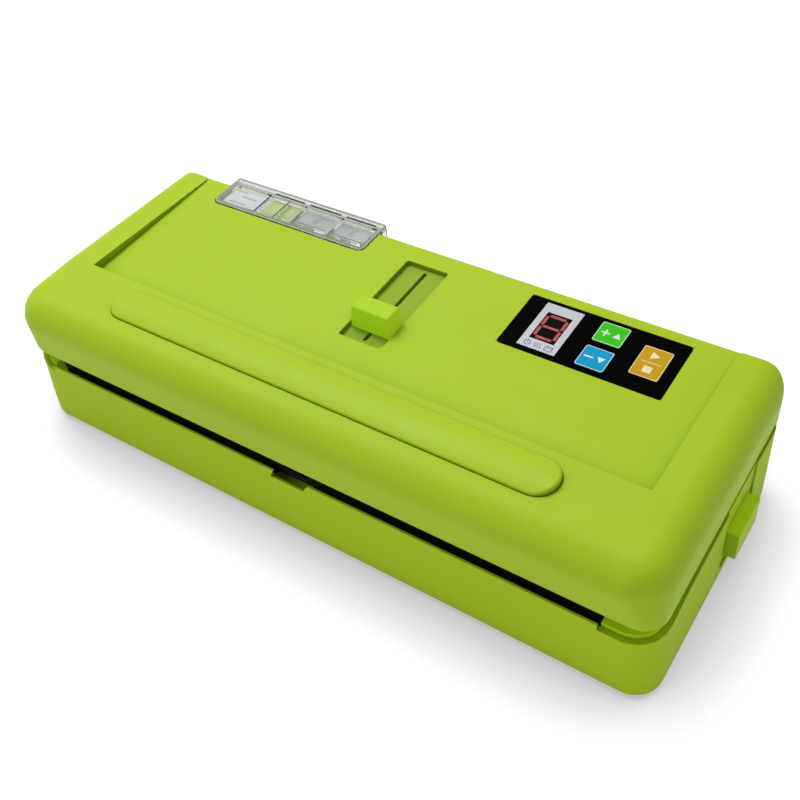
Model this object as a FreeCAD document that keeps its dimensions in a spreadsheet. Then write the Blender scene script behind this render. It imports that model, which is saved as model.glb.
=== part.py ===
import FreeCAD, Part
import Sketcher
import math
import os
import re

# Household clamshell vacuum packing machine: a base with pump and heater, a lid hinged along the
# back edge that carries a slide-driven suction nozzle, a clear liquid trap and a key panel, and a
# release button on each side.
# Frame: millimetres, +Z up, front edge towards -Y, right is +X, feet on Z = 0, origin under the
# middle of the bounding box.

V = FreeCAD.Vector
doc = FreeCAD.newDocument("vacuum_packing_machine")
sheet = doc.addObject("Spreadsheet::Sheet", "dims")

# alias, value, note
DIMS = [
    # overall body
    ("lid_half", 184.6, "half width of the lid"),
    ("base_half", 185.5, "half width of the base"),
    ("lid_front", -72.9, "front face of the lid, Y"),
    ("base_front", -74.7, "front face of the base, Y"),
    ("body_back", 66.7, "back face of lid and base, Y"),
    ("foot_height", 3.0, "underside of the base above the ground"),
    ("base_top", 51.8, "top of the base side walls, Z"),
    ("base_corner_low", 13.5, "base corner radius at its underside"),
    ("base_corner_low_left", 17.0, "front left base corner radius at its underside"),
    ("base_corner_left", 28.0, "front left base corner radius at Z 50"),
    ("base_corner_right", 17.0, "front right base corner radius at Z 50"),
    ("base_corner_back", 15.0, "back base corner radius at Z 50"),
    ("lid_bottom", 53.5, "lower edge of the lid walls, Z"),
    ("lid_top", 82.2, "top of the front strip of the lid, Z"),
    ("lid_back_top", 78.2, "top of the side rims at the back, Z"),
    ("shell_wall", 2.5, "moulded wall thickness"),
    ("corner_radius", 20.0, "vertical corner radius of the body"),
    ("lid_corner", 21.0, "vertical front corner radius of the lid"),
    ("lid_corner_low", 11.5, "front right corner radius at the lid's lower edge"),
    ("lid_back_corner", 10.0, "vertical back corner radius of the lid"),
    ("lid_round", 14.0, "rounding of the lid's top edge, front and sides"),
    ("base_round", 2.0, "rounding of the base's bottom edge"),
    # recessed top floor
    ("floor_top", 77.5, "recessed floor of the lid, Z"),
    ("floor_half", 160.0, "half width of the recessed floor"),
    ("floor_front", -27.8, "front edge of the recessed floor, Y"),
    # front rim of the base
    ("rim_mid", 47.3, "top of the base front wall in the middle, Z"),
    ("rim_step", 43.8, "top of the base front wall at the end steps, Z"),
    ("rim_mid_half", 160.0, "half length of the middle front rim"),
    ("rim_thin", 1.1, "thickness of the front rim at its top"),
    ("lip_rise", 2.4, "height of the inner lip above the outer wall"),
    ("notch_half", 10.2, "half width of the nozzle notch"),
    ("notch_bottom", 41.7, "bottom of the nozzle notch, Z"),
    # hinge
    ("hinge_y", 62.7, "hinge axis, Y"),
    ("hinge_z", 50.0, "hinge axis, Z"),
    ("knuckle_r", 4.0, "radius of the hinge knuckles"),
    ("knuckle_gap", 0.5, "clearance round the other side's knuckles"),
    ("pin_r", 1.5, "hinge pin radius"),
    ("pin_gap", 0.05, "running clearance of the pin in the lid knuckles"),
    ("hinge_in", 100.0, "inner end of each hinge, X"),
    ("hinge_out", 142.0, "outer end of each hinge, X"),
    ("lid_knuckle_in", 112.5, "inner end of the lid knuckle, X"),
    ("lid_knuckle_out", 129.5, "outer end of the lid knuckle, X"),
    ("rear_top", 46.0, "top of the base rear wall, Z"),
    # deck and jaws
    ("deck_top", 38.0, "top of the inner deck, Z"),
    ("deck_t", 2.0, "deck thickness"),
    ("trough_floor", 33.0, "floor of the front trough, Z"),
    ("strip_front", -68.0, "front face of the foam strips, Y"),
    ("strip_back", -58.0, "back face of the foam strips, Y"),
    ("strip_half", 159.0, "half length of the foam strips"),
    ("strip_top", 45.0, "top of the lower foam strip, Z"),
    ("upper_strip_bottom", 46.4, "bottom of the upper foam strip, Z"),
    ("jaw_front", -53.0, "front of the heater jaw, Y"),
    ("jaw_back", -43.0, "back of the heater jaw, Y"),
    ("jaw_half", 152.0, "half length of the heater jaw"),
    ("jaw_top", 42.0, "top of the heater jaw, Z"),
    ("liner_bottom", 54.0, "underside of the lid liner, Z"),
    ("liner_t", 2.0, "lid liner thickness"),
    # press pad
    ("pad_half", 126.8, "half length of the press pad"),
    ("pad_front", -53.8, "front of the press pad, Y"),
    ("pad_back", -33.0, "back of the press pad, Y"),
    ("pad_top", 85.2, "top of the press pad, Z"),
    ("pad_seat", 81.4, "seat of the press pad, Z"),
    ("pad_gap", 0.35, "seam round the press pad"),
    # slider
    ("slide_recess_half", 12.5, "half width of the slider recess"),
    ("slide_recess_front", -7.1, "front of the slider recess, Y"),
    ("slide_recess_back", 55.3, "back of the slider recess, Y"),
    ("slide_recess_floor", 74.9, "floor of the slider recess, Z"),
    ("slot_half", 1.0, "half width of the slider slot"),
    ("slot_front", -3.3, "front end of the slider slot, Y"),
    ("slot_back", 52.7, "back end of the slider slot, Y"),
    ("knob_front", 2.4, "front of the knob at its base, Y"),
    ("knob_back", 14.7, "back of the knob at its base, Y"),
    ("knob_half", 11.9, "half width of the knob at its base"),
    ("knob_bottom", 75.2, "underside of the knob, Z"),
    ("knob_top", 87.5, "top of the knob, Z"),
    ("knob_draft", 5.0, "draft of the knob's sides, degrees"),
    ("stem_half", 0.8, "half width of the knob stem"),
    ("stem_front", 5.0, "front of the knob stem, Y"),
    ("stem_back", 12.0, "back of the knob stem, Y"),
    # nozzle
    ("nozzle_half", 7.0, "half width of the flat nozzle"),
    ("nozzle_bottom", 42.8, "underside of the nozzle, Z"),
    ("nozzle_top", 45.8, "top of the nozzle, Z"),
    ("nozzle_tip", -67.0, "tip of the nozzle, Y"),
    ("nozzle_end", 14.0, "back end of the nozzle, Y"),
    ("barb_y", 10.0, "axis of the nozzle's hose barb, Y"),
    ("barb_z", 59.2, "axis of the nozzle's hose barb, Z"),
    # control panel
    ("panel_left", 58.4, "left edge of the key panel, X"),
    ("panel_right", 141.2, "right edge of the key panel, X"),
    ("panel_front", 23.2, "front edge of the key panel, Y"),
    ("panel_back", 60.6, "back edge of the key panel, Y"),
    ("panel_bottom", 77.2, "seat of the key panel, Z"),
    ("panel_top", 77.65, "top of the key panel, Z"),
    ("frame_left", 67.6, "left edge of the display frame, X"),
    ("frame_right", 87.3, "right edge of the display frame, X"),
    ("frame_front", 26.4, "front edge of the display frame, Y"),
    ("frame_back", 58.4, "back edge of the display frame, Y"),
    ("digit_left", 71.0, "left side of the digit module, X"),
    ("digit_right", 83.8, "right side of the digit module, X"),
    ("digit_front", 32.9, "front side of the digit module, Y"),
    ("digit_back", 52.2, "back side of the digit module, Y"),
    ("key_top", 77.85, "top of the keys, Z"),
    ("key_gap", 0.2, "clearance round each key"),
    ("board_bottom", 66.5, "underside of the control board, Z"),
    ("board_t", 1.6, "circuit board thickness"),
    # liquid trap
    ("tank_left", -143.0, "left side of the tank, X"),
    ("tank_right", -38.9, "right side of the tank, X"),
    ("tank_front", 50.2, "front side of the tank, Y"),
    ("tank_back", 74.7, "back side of the tank, Y"),
    ("tank_bottom", 60.0, "underside of the tank, Z"),
    ("tank_top", 77.8, "top of the tank cover, Z"),
    ("tank_wall", 1.8, "tank wall thickness"),
    ("tank_gap", 0.5, "gap round the tank in the lid"),
    ("port_z", 66.0, "axis of the tank ports, Z"),
    # release buttons
    ("button_out", 190.5, "outer face of the release button, X"),
    ("button_front", 3.5, "front of the release button, Y"),
    ("button_back", 29.0, "back of the release button, Y"),
    ("button_bottom", 16.0, "bottom of the release button, Z"),
    ("button_top", 33.2, "top of the release button, Z"),
    ("button_gap", 0.5, "gap round the release button"),
    ("spring_z", 19.0, "axis of the button spring, Z"),
    # pump, power inlet and air port
    ("pump_y", 22.0, "axis of the pump, Y"),
    ("pump_z", 17.6, "axis of the pump, Z"),
    ("inlet_z", 21.0, "middle of the power inlet, Z"),
    ("air_x", -100.0, "axis of the air port between base and lid, X"),
    ("air_y", 30.0, "axis of the air port between base and lid, Y"),
    # fasteners and feet
    ("foot_r", 8.0, "radius of the rubber feet"),
    ("foot_x", 158.0, "foot position, X"),
    ("foot_front", -58.0, "front foot position, Y"),
    ("foot_back", 52.0, "back foot position, Y"),
    ("screw_x", 165.0, "case screw position, X"),
    ("screw_y", 40.0, "case screw position, Y"),
    ("lid_screw_x", 150.0, "lid screw position, X"),
    ("lid_screw_front", -20.0, "front lid screw position, Y"),
    ("lid_screw_back", 35.0, "back lid screw position, Y"),
]
for row, (alias, value, note) in enumerate(DIMS, 1):
    sheet.set("A%d" % row, note)
    sheet.set("B%d" % row, str(value))
    sheet.setAlias("B%d" % row, alias)
doc.recompute()
NAMES = {alias for alias, _, _ in DIMS}
WORD = re.compile(r"[A-Za-z_][A-Za-z_0-9]*")

# Places shared by several pieces. Rectangles are left, right, front, back.
SIDES = (1, -1)  # right, left
BACK_INSIDE = "body_back-shell_wall"
SPRING_Y = "(button_front+button_back)/2"
PAD_RECT = ("-pad_half", "pad_half", "pad_front", "pad_back")
PANEL_RECT = ("panel_left", "panel_right", "panel_front", "panel_back")
FRAME_RECT = ("frame_left", "frame_right", "frame_front", "frame_back")
DIGIT_RECT = ("digit_left", "digit_right", "digit_front", "digit_back")
TANK_RECT = ("tank_left", "tank_right", "tank_front", "tank_back")
KEYS = {
    "key_increase": (97.4, 111.6, 44.4, 58.2),
    "key_decrease": (97.4, 111.6, 26.6, 40.4),
    "key_start_stop": (121.3, 135.4, 32.5, 52.3),
}
BOARD_POSTS = [(x, y) for x in (62.5, 137.5) for y in (-42.5, -7.5)]
PORT_XS = (-60, -122)


# ---------------------------------------------------------------- expressions and objects
def val(alias):
    return float(getattr(sheet, alias))


def ex(value):
    """A number, or an expression over sheet aliases, as FreeCAD wants it."""
    if not isinstance(value, str):
        return repr(float(value))
    return WORD.sub(lambda m: "dims." + m.group(0) if m.group(0) in NAMES else m.group(0), value)


def bind(obj, prop, value):
    obj.setExpression(prop, ex(value))


def bind_base(obj, x, y, z):
    for axis, value in zip("xyz", (x, y, z)):
        bind(obj, "Placement.Base." + axis, value)


count = [0]


def numbered(name):
    count[0] += 1
    return "%s_%03d" % (name, count[0])


def fresh(kind, name):
    return doc.addObject(kind, numbered(name))


PARTS = {}


def piece(label, obj):
    """Registers an object as a piece to export."""
    obj.Label = label
    PARTS[label] = obj
    return obj


# ---------------------------------------------------------------- solids
def difference(end, start):
    return "(%s)-(%s)" % (end, start)


def box(x0, x1, y0, y1, z0, z1, name):
    block = fresh("Part::Box", name)
    bind(block, "Length", difference(x1, x0))
    bind(block, "Width", difference(y1, y0))
    bind(block, "Height", difference(z1, z0))
    bind_base(block, x0, y0, z0)
    return block


AXES = {
    "z": FreeCAD.Rotation(),
    "x": FreeCAD.Rotation(V(0, 1, 0), 90),
    "y": FreeCAD.Rotation(V(1, 0, 0), -90),
}


def cyl(axis, x, y, z, radius, length, name):
    """Cylinder from (x, y, z) along +axis."""
    rod = fresh("Part::Cylinder", name)
    bind(rod, "Radius", radius)
    bind(rod, "Height", length)
    rod.Placement = FreeCAD.Placement(V(), AXES[axis])
    bind_base(rod, x, y, z)
    return rod


def span(side, x_in, x_out):
    """An X range given for the right side, on either side."""
    return (x_in, x_out) if side > 0 else ("-(%s)" % x_out, "-(%s)" % x_in)


def side_box(side, x_in, x_out, *rest):
    return box(*span(side, x_in, x_out), *rest)


def side_cyl(side, x_in, x_out, y, z, radius, name):
    x0, x1 = span(side, x_in, x_out)
    return cyl("x", x0, y, z, radius, difference(x1, x0), name)


def spots(side, x, ys):
    """Points at x on one side, at each y."""
    return [("%d*%s" % (side, x), y) for y in ys]


def case_screw_spots(side):
    return spots(side, "screw_x", ("-screw_y", "screw_y"))


def foot_spots(side):
    return spots(side, "foot_x", ("foot_front", "foot_back"))


def lid_screw_spots(side):
    return spots(side, "lid_screw_x", ("lid_screw_front", "lid_screw_back"))


def grown(rect, gap):
    """A rectangle moved out by a gap on all four edges."""
    x0, x1, y0, y1 = rect
    return "%s-%s" % (x0, gap), "%s+%s" % (x1, gap), "%s-%s" % (y0, gap), "%s+%s" % (y1, gap)


# ---------------------------------------------------------------- booleans and fillets
def fuse(objs, name):
    if len(objs) == 1:
        return objs[0]
    joined = fresh("Part::MultiFuse", name)
    joined.Shapes = objs
    joined.Refine = True
    return joined


def cut(base, tools, name):
    result = fresh("Part::Cut", name)
    result.Base = base
    result.Tool = fuse(tools, name + "_tools")
    return result


def common(first, second, name):
    result = fresh("Part::Common", name)
    result.Base = first
    result.Tool = second
    return result


def group(objs, name):
    compound = fresh("Part::Compound", name)
    compound.Links = objs
    return compound


def is_vertical(edge):
    if edge.Length < 0.05 or len(edge.Vertexes) != 2:
        return False
    start, end = (vertex.Point for vertex in edge.Vertexes)
    return abs(start.x - end.x) < 1e-4 and abs(start.y - end.y) < 1e-4


def all_at(test):
    """Selects an edge or face when each of its vertices passes the test."""
    return lambda shape: all(test(vertex.Point) for vertex in shape.Vertexes)


def upright(test):
    """Selects a vertical edge when both its ends pass the test."""
    return lambda edge: is_vertical(edge) and all_at(test)(edge)


def fillet(base, pick, radius, name):
    doc.recompute()
    rounded = fresh("Part::Fillet", name)
    rounded.Base = base
    edges = enumerate(base.Shape.Edges, 1)
    rounded.Edges = [(i, radius, radius) for i, edge in edges if pick(edge)]
    if not rounded.Edges:
        raise ValueError("no edge for " + name)
    doc.recompute()
    return rounded


def tapered_corner(base, sx, sy, low, high, name):
    """One vertical corner whose radius changes from the lower to the upper end."""
    doc.recompute()
    rounded = fresh("Part::Fillet", name)
    rounded.Base = base
    pick = upright(lambda point: point.x * sx > 120 and point.y * sy > 40)
    picked = [i for i, edge in enumerate(base.Shape.Edges, 1) if pick(edge)]
    if len(picked) != 1:
        raise ValueError("corner of " + name)
    floor = min(vertex.Point.z for vertex in base.Shape.Vertexes)
    on_floor = all_at(lambda point: abs(point.z - floor) < 0.001)

    def floor_area(shape):
        return sum(face.Area for face in shape.Faces if on_floor(face))

    # the edge may run up or down, so the floor's area tells which order of radii is right
    wanted = floor_area(base.Shape) - (1.0 - math.pi / 4.0) * low * low
    for first, last in ((low, high), (high, low)):
        rounded.Edges = [(picked[0], first, last)]
        doc.recompute()
        if abs(floor_area(rounded.Shape) - wanted) < 0.5:
            return rounded
    raise ValueError("corner radii of " + name)


def rounded_box(x0, x1, y0, y1, z0, z1, radius, name):
    block = box(x0, x1, y0, y1, z0, z1, name)
    return fillet(block, is_vertical, radius, name + "_corners")


# ---------------------------------------------------------------- sketches and bodies
def draw_polygon(sketch, points):
    """Closed polygon drawn as a rough ring, then pulled to its corners by bound constraints."""
    total = len(points)

    def ring_point(i):
        angle = 6.28 * i / total
        return V(10.0 * math.cos(angle), 10.0 * math.sin(angle), 0)

    for i in range(total):
        sketch.addGeometry(Part.LineSegment(ring_point(i), ring_point(i + 1)), False)
    for i in range(total):
        sketch.addConstraint(Sketcher.Constraint("Coincident", i, 2, (i + 1) % total, 1))
    for i, corner in enumerate(points):
        for kind, value in zip(("DistanceX", "DistanceY"), corner):
            index = sketch.addConstraint(Sketcher.Constraint(kind, -1, 1, i, 1, 5.0))
            sketch.setExpression("Constraints[%d]" % index, ex(value))


# plane: rotation of the sketch, axis of its offset
PLANES = {
    "XY": (FreeCAD.Rotation(), "z"),
    "YZ": (FreeCAD.Rotation(V(1, 1, 1), 120), "x"),
    "XZ": (FreeCAD.Rotation(V(1, 0, 0), 90), "y"),
}


def prism(points, plane, start, end, name):
    """Polygon at start, extruded by end - start along +Z (XY), +X (YZ) or -Y (XZ)."""
    rotation, axis = PLANES[plane]
    sketch = fresh("Sketcher::SketchObject", name + "_profile")
    sketch.Placement = FreeCAD.Placement(V(), rotation)
    bind(sketch, "Placement.Base." + axis, start)
    draw_polygon(sketch, points)
    solid = fresh("Part::Extrusion", name)
    solid.Base = sketch
    solid.DirMode = "Normal"
    solid.Solid = True
    bind(solid, "LengthFwd", difference(end, start))
    return solid


def body_piece(label):
    return piece(label, fresh("PartDesign::Body", label))


def body_sketch(body, rect, z, name):
    """Rectangle on the body's XY plane at a height."""
    sketch = body.newObject("Sketcher::SketchObject", numbered(name + "_sketch"))
    plane = [item for item in body.Origin.OriginFeatures if item.Role == "XY_Plane"][0]
    sketch.AttachmentSupport = [(plane, "")]
    sketch.MapMode = "FlatFace"
    bind(sketch, "AttachmentOffset.Base.z", z)
    x0, x1, y0, y1 = rect
    draw_polygon(sketch, [(x0, y0), (x1, y0), (x1, y1), (x0, y1)])
    return sketch


def pad(body, rect, z0, z1, taper=None, name="pad"):
    sketch = body_sketch(body, rect, z0, name)
    feature = body.newObject("PartDesign::Pad", numbered(name))
    feature.Profile = sketch
    bind(feature, "Length", difference(z1, z0))
    if taper is not None:
        bind(feature, "TaperAngle", taper)
    doc.recompute()


def pocket(body, rect, z0, z1, name):
    """Cuts from height z1 down to z0; the volume must fall."""
    limit = body.Shape.Volume - 1e-6
    sketch = body_sketch(body, rect, z1, name)
    feature = body.newObject("PartDesign::Pocket", numbered(name))
    feature.Profile = sketch
    bind(feature, "Length", difference(z1, z0))
    doc.recompute()
    if body.Shape.Volume >= limit:
        feature.Reversed = True
        doc.recompute()
    if body.Shape.Volume >= limit:
        raise ValueError("pocket cut nothing: " + name)


def body_fillet(body, pick, radius):
    tip = body.Tip
    names = ["Edge%d" % i for i, edge in enumerate(tip.Shape.Edges, 1) if pick(edge)]
    if not names:
        raise ValueError("no edge to round in " + body.Label)
    feature = body.newObject("PartDesign::Fillet", numbered("round"))
    feature.Base = (tip, names)
    bind(feature, "Radius", radius)
    doc.recompute()


# ---------------------------------------------------------------- repeated parts
def hose(label, outer_r, inner_r, points):
    """Flexible tube along a smooth curve through the points (X, Y, Z)."""
    curve = Part.BSplineCurve()
    curve.interpolate([V(*point) for point in points])
    edge = curve.toShape()
    path = Part.Wire([edge])
    start = edge.valueAt(edge.FirstParameter)
    tangent = edge.tangentAt(edge.FirstParameter)

    def swept(radius):
        ring = Part.Wire([Part.makeCircle(radius, start, tangent)])
        return path.makePipeShell([ring], True, True)

    solid = swept(outer_r).cut(swept(inner_r))
    if solid.ShapeType == "Compound" and len(solid.Solids) == 1:
        solid = solid.Solids[0]
    feature = fresh("Part::Feature", label)
    feature.Shape = solid
    feature.Placement = FreeCAD.Placement()
    piece(label, feature)


def screw(x, y, head, shank, drive, name):
    """Upright screw, head down: head (z, length), shank (z, radius, length), drive (z0, z1)."""
    head_z, head_length = head
    shank_z, shank_r, shank_length = shank
    solid = fuse([
        cyl("z", x, y, head_z, 3.0, head_length, "screw_head"),
        cyl("z", x, y, shank_z, shank_r, shank_length, "screw_shank"),
    ], "screw")
    arms = []
    for half_x, half_y in ((2, 0.4), (0.4, 2)):
        arms.append(box("%s-%s" % (x, half_x), "%s+%s" % (x, half_x),
                        "%s-%s" % (y, half_y), "%s+%s" % (y, half_y), *drive, "drive"))
    return cut(solid, arms, name)


# ---------------------------------------------------------------- base outline
# side X, side Y, corner radius at the underside, corner radius at Z 50
CORNERS = (
    (-1, -1, "base_corner_low_left", "base_corner_left"),
    (1, -1, "base_corner_low", "base_corner_right"),
    (-1, 1, "base_corner_low", "base_corner_back"),
    (1, 1, "base_corner_low", "base_corner_back"),
)
CORNER_TOP_Z = 50.0

# side view of the wall top at the ends, Y and Z: low at the front, rising round the corner to
# the side walls
END_TOP = [
    (-76.0, val("rim_step")), (-66.0, val("rim_step")), (-58.0, 46.6),
    (-46.0, 49.4), (-24.0, 51.0), (4.0, 51.7),
]


def base_block(inset, z0, z1, name):
    """Block with the outline of the base, set in from its outside."""
    block = box("-base_half+%s" % inset, "base_half-%s" % inset,
                "base_front+%s" % inset, "body_back-%s" % inset, z0, z1, name)
    doc.recompute()
    depth = val("base_half") - block.Length.Value / 2
    bounds = block.Shape.BoundBox
    bottom, top = bounds.ZMin, bounds.ZMax
    foot = val("foot_height")

    def radius_at(z, low, high):
        slope = (z - foot) / (CORNER_TOP_Z - foot)
        return val(low) + (val(high) - val(low)) * slope - depth

    for sx, sy, low, high in CORNERS:
        block = tapered_corner(block, sx, sy, radius_at(bottom, low, high),
                               radius_at(top, low, high), name + "_corner")
    return block


def above_wall(side, x_in, x_out, rise, cap, name):
    """Everything above the end profile raised by a height, up to a cap."""
    profile = [(y, min(z + rise, cap)) for y, z in END_TOP]
    sky = [(END_TOP[-1][0], 70.0), (END_TOP[0][0], 70.0)]
    return prism(profile + sky, "YZ", *span(side, x_in, x_out), name)


# ---------------------------------------------------------------- base shell
def base_tub():
    outer = base_block(0, "foot_height", "base_top", "base_outer")
    at_bottom = all_at(lambda point: point.z < val("foot_height") + 0.01)
    outer = fillet(outer, at_bottom, val("base_round"), "base_bottom_round")
    cavity = base_block("shell_wall", "foot_height+shell_wall", "base_top+5", "base_cavity")
    rear = box("-base_half-1", "base_half+1", "hinge_y-0.7", "body_back+1",
               "rear_top", "base_top+6", "rear_rim")
    return cut(outer, [cavity, rear], "base_tub")


def base_additions(side):
    """Hinge knuckles, spring seat and screw posts of one side."""
    post_z = "foot_height+shell_wall-0.2"
    add = []
    for x_in, x_out in (("hinge_in", "lid_knuckle_in-0.5"), ("lid_knuckle_out+0.5", "hinge_out")):
        add.append(side_cyl(side, x_in, x_out, "hinge_y", "hinge_z", "knuckle_r", "base_knuckle"))
        add.append(side_box(side, x_in, x_out, "hinge_y-knuckle_r", "hinge_y",
                            "hinge_z-14", "hinge_z", "base_knuckle_neck"))
        add.append(side_box(side, x_in, x_out, "hinge_y-knuckle_r", "body_back-0.5",
                            "hinge_z-14", "rear_top", "base_knuckle_foot"))
    add.append(side_box(side, 165, 168, 8, 25, post_z, 27, "spring_rib"))
    add.append(side_cyl(side, 168, 170.5, SPRING_Y, "spring_z", 2.0, "spring_boss"))
    for x, y in case_screw_spots(side):
        add.append(cyl("z", x, y, post_z, 5, 8.7, "screw_post"))
    return add


def nozzle_notch():
    """Notch through the front wall, sloping on its right side only."""
    left, right = "-notch_half+2.6", "notch_half+2.8"
    points = [
        ("-notch_half-0.2", "notch_bottom"), ("notch_half-1.2", "notch_bottom"),
        (right, "rim_mid"), (right, "base_top+5"),
        (left, "base_top+5"), (left, "rim_mid"),
    ]
    return prism(points, "XZ", "base_front+shell_wall+0.5", "base_front+shell_wall+4.5",
                 "nozzle_notch")


def base_openings(side):
    tools = [above_wall(side, "rim_mid_half-0.1", "base_half+2", 0.0, 60.0, "end_slope")]
    recess = side_box(side, "base_half-0.9", "base_half+1", -1, 32, 10, "base_top+6",
                      "button_recess")
    low = all_at(lambda point: point.z < 11)
    tools.append(fillet(recess, lambda edge: abs(edge.Length - 1.9) < 0.01 and low(edge), 3.0,
                        "button_recess_round"))
    through = ("base_half-shell_wall-1", "base_half+1")
    tools.append(side_box(side, *through, -1, 32, 50.5, "base_top+6", "button_recess_top"))
    tools.append(side_cyl(side, "lid_knuckle_in-0.5", "lid_knuckle_out+0.5", "hinge_y", "hinge_z",
                          "knuckle_r+knuckle_gap", "knuckle_relief"))
    tools.append(side_cyl(side, "hinge_in-1", "hinge_out+1", "hinge_y", "hinge_z", "pin_r",
                          "pin_hole"))
    tools.append(side_box(side, *through, "button_front-button_gap", "button_back+button_gap",
                          "button_bottom-button_gap", "button_top+button_gap", "button_opening"))
    for x, y in case_screw_spots(side):
        tools.append(cyl("z", x, y, "foot_height-1", 3.4, 6, "screw_counterbore"))
        tools.append(cyl("z", x, y, "foot_height-1", 1.8, 20, "screw_hole"))
    for x, y in foot_spots(side):
        tools.append(cyl("z", x, y, "foot_height-1", 2.55, 5, "foot_hole"))
    return tools


def base_shell():
    add = [base_tub()]
    for side in SIDES:
        add += base_additions(side)
    for x, y in BOARD_POSTS:
        add.append(cyl("z", x, y, "foot_height+shell_wall-0.2", 2.5, 5.7, "board_post"))
    shell = fuse(add, "base_with_posts")
    tools = [
        box("-rim_mid_half", "rim_mid_half", "base_front-1", "base_front+shell_wall+3",
            "rim_mid", "base_top+5", "front_rim"),
        box("-rim_mid_half", "rim_mid_half", "base_front+rim_thin", "base_front+shell_wall+0.5",
            40, "base_top+5", "front_rim_thin"),
        nozzle_notch(),
        box(120, 144, "body_back-4", "body_back+1", 12, 30, "inlet_opening"),
    ]
    for side in SIDES:
        tools += base_openings(side)
    vent_width, vent_pitch = 3, 9
    for i in range(6):
        x = -70 + vent_pitch * i
        tools.append(box(x, x + vent_width, -20, 10, "foot_height-1",
                         "foot_height+shell_wall+0.5", "vent"))
    return cut(shell, tools, "base_shell")


piece("base_shell", base_shell())


# ---------------------------------------------------------------- inner deck of the base
def end_lip(side, lip_inner):
    """Lip that stands inside the base wall round one end."""
    x_in, x_out = "rim_mid_half+0.6", 190
    wall = side_box(side, x_in, x_out, -73, 57.5, "deck_top-0.5", 56, "end_lip_block")
    wall = cut(wall, [lip_inner], "end_lip_ring")
    block = side_box(side, x_in, x_out, -73, -58, "deck_top-0.5", 56, "end_block")
    wall = fuse([wall, block], "end_lip_and_block")
    x_in, x_out = "rim_mid_half", 191
    above = fuse([
        above_wall(side, x_in, x_out, val("lip_rise"), 53.0, "end_lip_top"),
        side_box(side, x_in, x_out, 3.9, 60, 53.0, 70, "end_lip_top_back"),
    ], "end_lip_above")
    return cut(wall, [above], "end_lip")


def deck_plate():
    outline = base_block("(shell_wall+0.3)", 10, 60, "deck_outline")
    lip_inner = base_block("(shell_wall+1.9)", 10, 61, "lip_inner")
    ramp = [(-73, "trough_floor-0.2"), (-68.1, "trough_floor-0.2"),
            (-68.1, "notch_bottom-3.2"), (-73, "notch_bottom-0.3")]
    solids = [
        box(-190, 190, -57.8, 57.5, "deck_top-deck_t", "deck_top", "deck_main"),
        box(-190, 190, -73, -55.8, "trough_floor-deck_t", "trough_floor", "deck_trough"),
        box(-190, 190, -57.8, -55.8, "trough_floor-deck_t", "deck_top", "deck_riser"),
        prism(ramp, "YZ", -9.8, 9.8, "nozzle_ramp"),
    ]
    for side in SIDES:
        solids.append(side_box(side, "strip_half+1", 190, -73, -57.8, "trough_floor-0.2",
                               "deck_top+1", "deck_end"))
        for x, y in case_screw_spots(side):
            solids.append(cyl("z", x, y, 14.2, 4, 22, "deck_post"))
    solids.append(box(-181, 181, 56.2, 57.5, "deck_top-0.5", "base_top", "deck_rear_lip"))
    for side in SIDES:
        solids.append(end_lip(side, lip_inner))
    deck = common(fuse(solids, "deck_solid"), outline, "deck_trimmed")
    tools = [cyl("z", "air_x", "air_y", "deck_top-5", 3.05, 10, "air_hole")]
    for side in SIDES:
        tools.append(side_box(side, 172.5, 186, 3.5, 28.5, "deck_top-deck_t-1", "deck_top+1",
                              "hook_slot"))
        for x, y in case_screw_spots(side):
            tools.append(cyl("z", x, y, 14, 1.3, 18, "pilot"))
    return cut(deck, tools, "deck_plate")


piece("deck_plate", deck_plate())

# ---------------------------------------------------------------- sealing jaw
jaw = body_piece("heater_bar")
pad(jaw, ("-jaw_half", "jaw_half", "jaw_front", "jaw_back"), "deck_top", "jaw_top")
body_fillet(jaw, is_vertical, 2.0)
pocket(jaw, (-150, 150, -50.0, -46.0), "jaw_top-0.05", "jaw_top", "wire_bed")

ribbon = body_piece("heating_element")
pad(ribbon, (-149, 149, -49.5, -46.5), "jaw_top-0.05", "jaw_top+0.1")

tape = body_piece("ptfe_tape")
pad(tape, ("-jaw_half+1", "jaw_half-1", "jaw_front+0.3", "jaw_back-0.3"),
    "jaw_top+0.1", "jaw_top+0.25")


# ---------------------------------------------------------------- foam and silicone strips
def foam_strip(z0, z1, name):
    return box("-strip_half", "strip_half", "strip_front", "strip_back", z0, z1, name)


def lower_gasket():
    strip = foam_strip("trough_floor", "strip_top", "lower_foam")
    notch = box(-8.5, 8.5, "strip_front-1", "strip_back+1", "nozzle_bottom-0.8", "strip_top+1",
                "foam_notch")
    return cut(strip, [notch], "lower_gasket")


def pressure_strip():
    strip_bottom = 46.1
    strip = box("-jaw_half+2", "jaw_half-2", -51.5, -44.5, strip_bottom, 49, "silicone_strip")
    low = all_at(lambda point: point.z < strip_bottom + 0.1)
    return fillet(strip, lambda edge: low(edge) and edge.Length > 100, 1.0, "pressure_strip")


piece("lower_gasket", lower_gasket())
piece("upper_gasket", foam_strip("upper_strip_bottom", "liner_bottom", "upper_foam"))
piece("pressure_strip", pressure_strip())


# ---------------------------------------------------------------- pump
def pump_motor():
    return fuse([
        cyl("x", -34, "pump_y", "pump_z", 12, 46, "motor_can"),
        cyl("x", 12, "pump_y", "pump_z", 5, 3, "motor_boss"),
        cyl("x", -38, "pump_y", "pump_z", 1.5, 55, "motor_shaft"),
        box(12, 13.5, 14, 17, 14, 22, "terminal"),
        box(12, 13.5, 27, 30, 14, 22, "terminal"),
    ], "motor")


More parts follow.
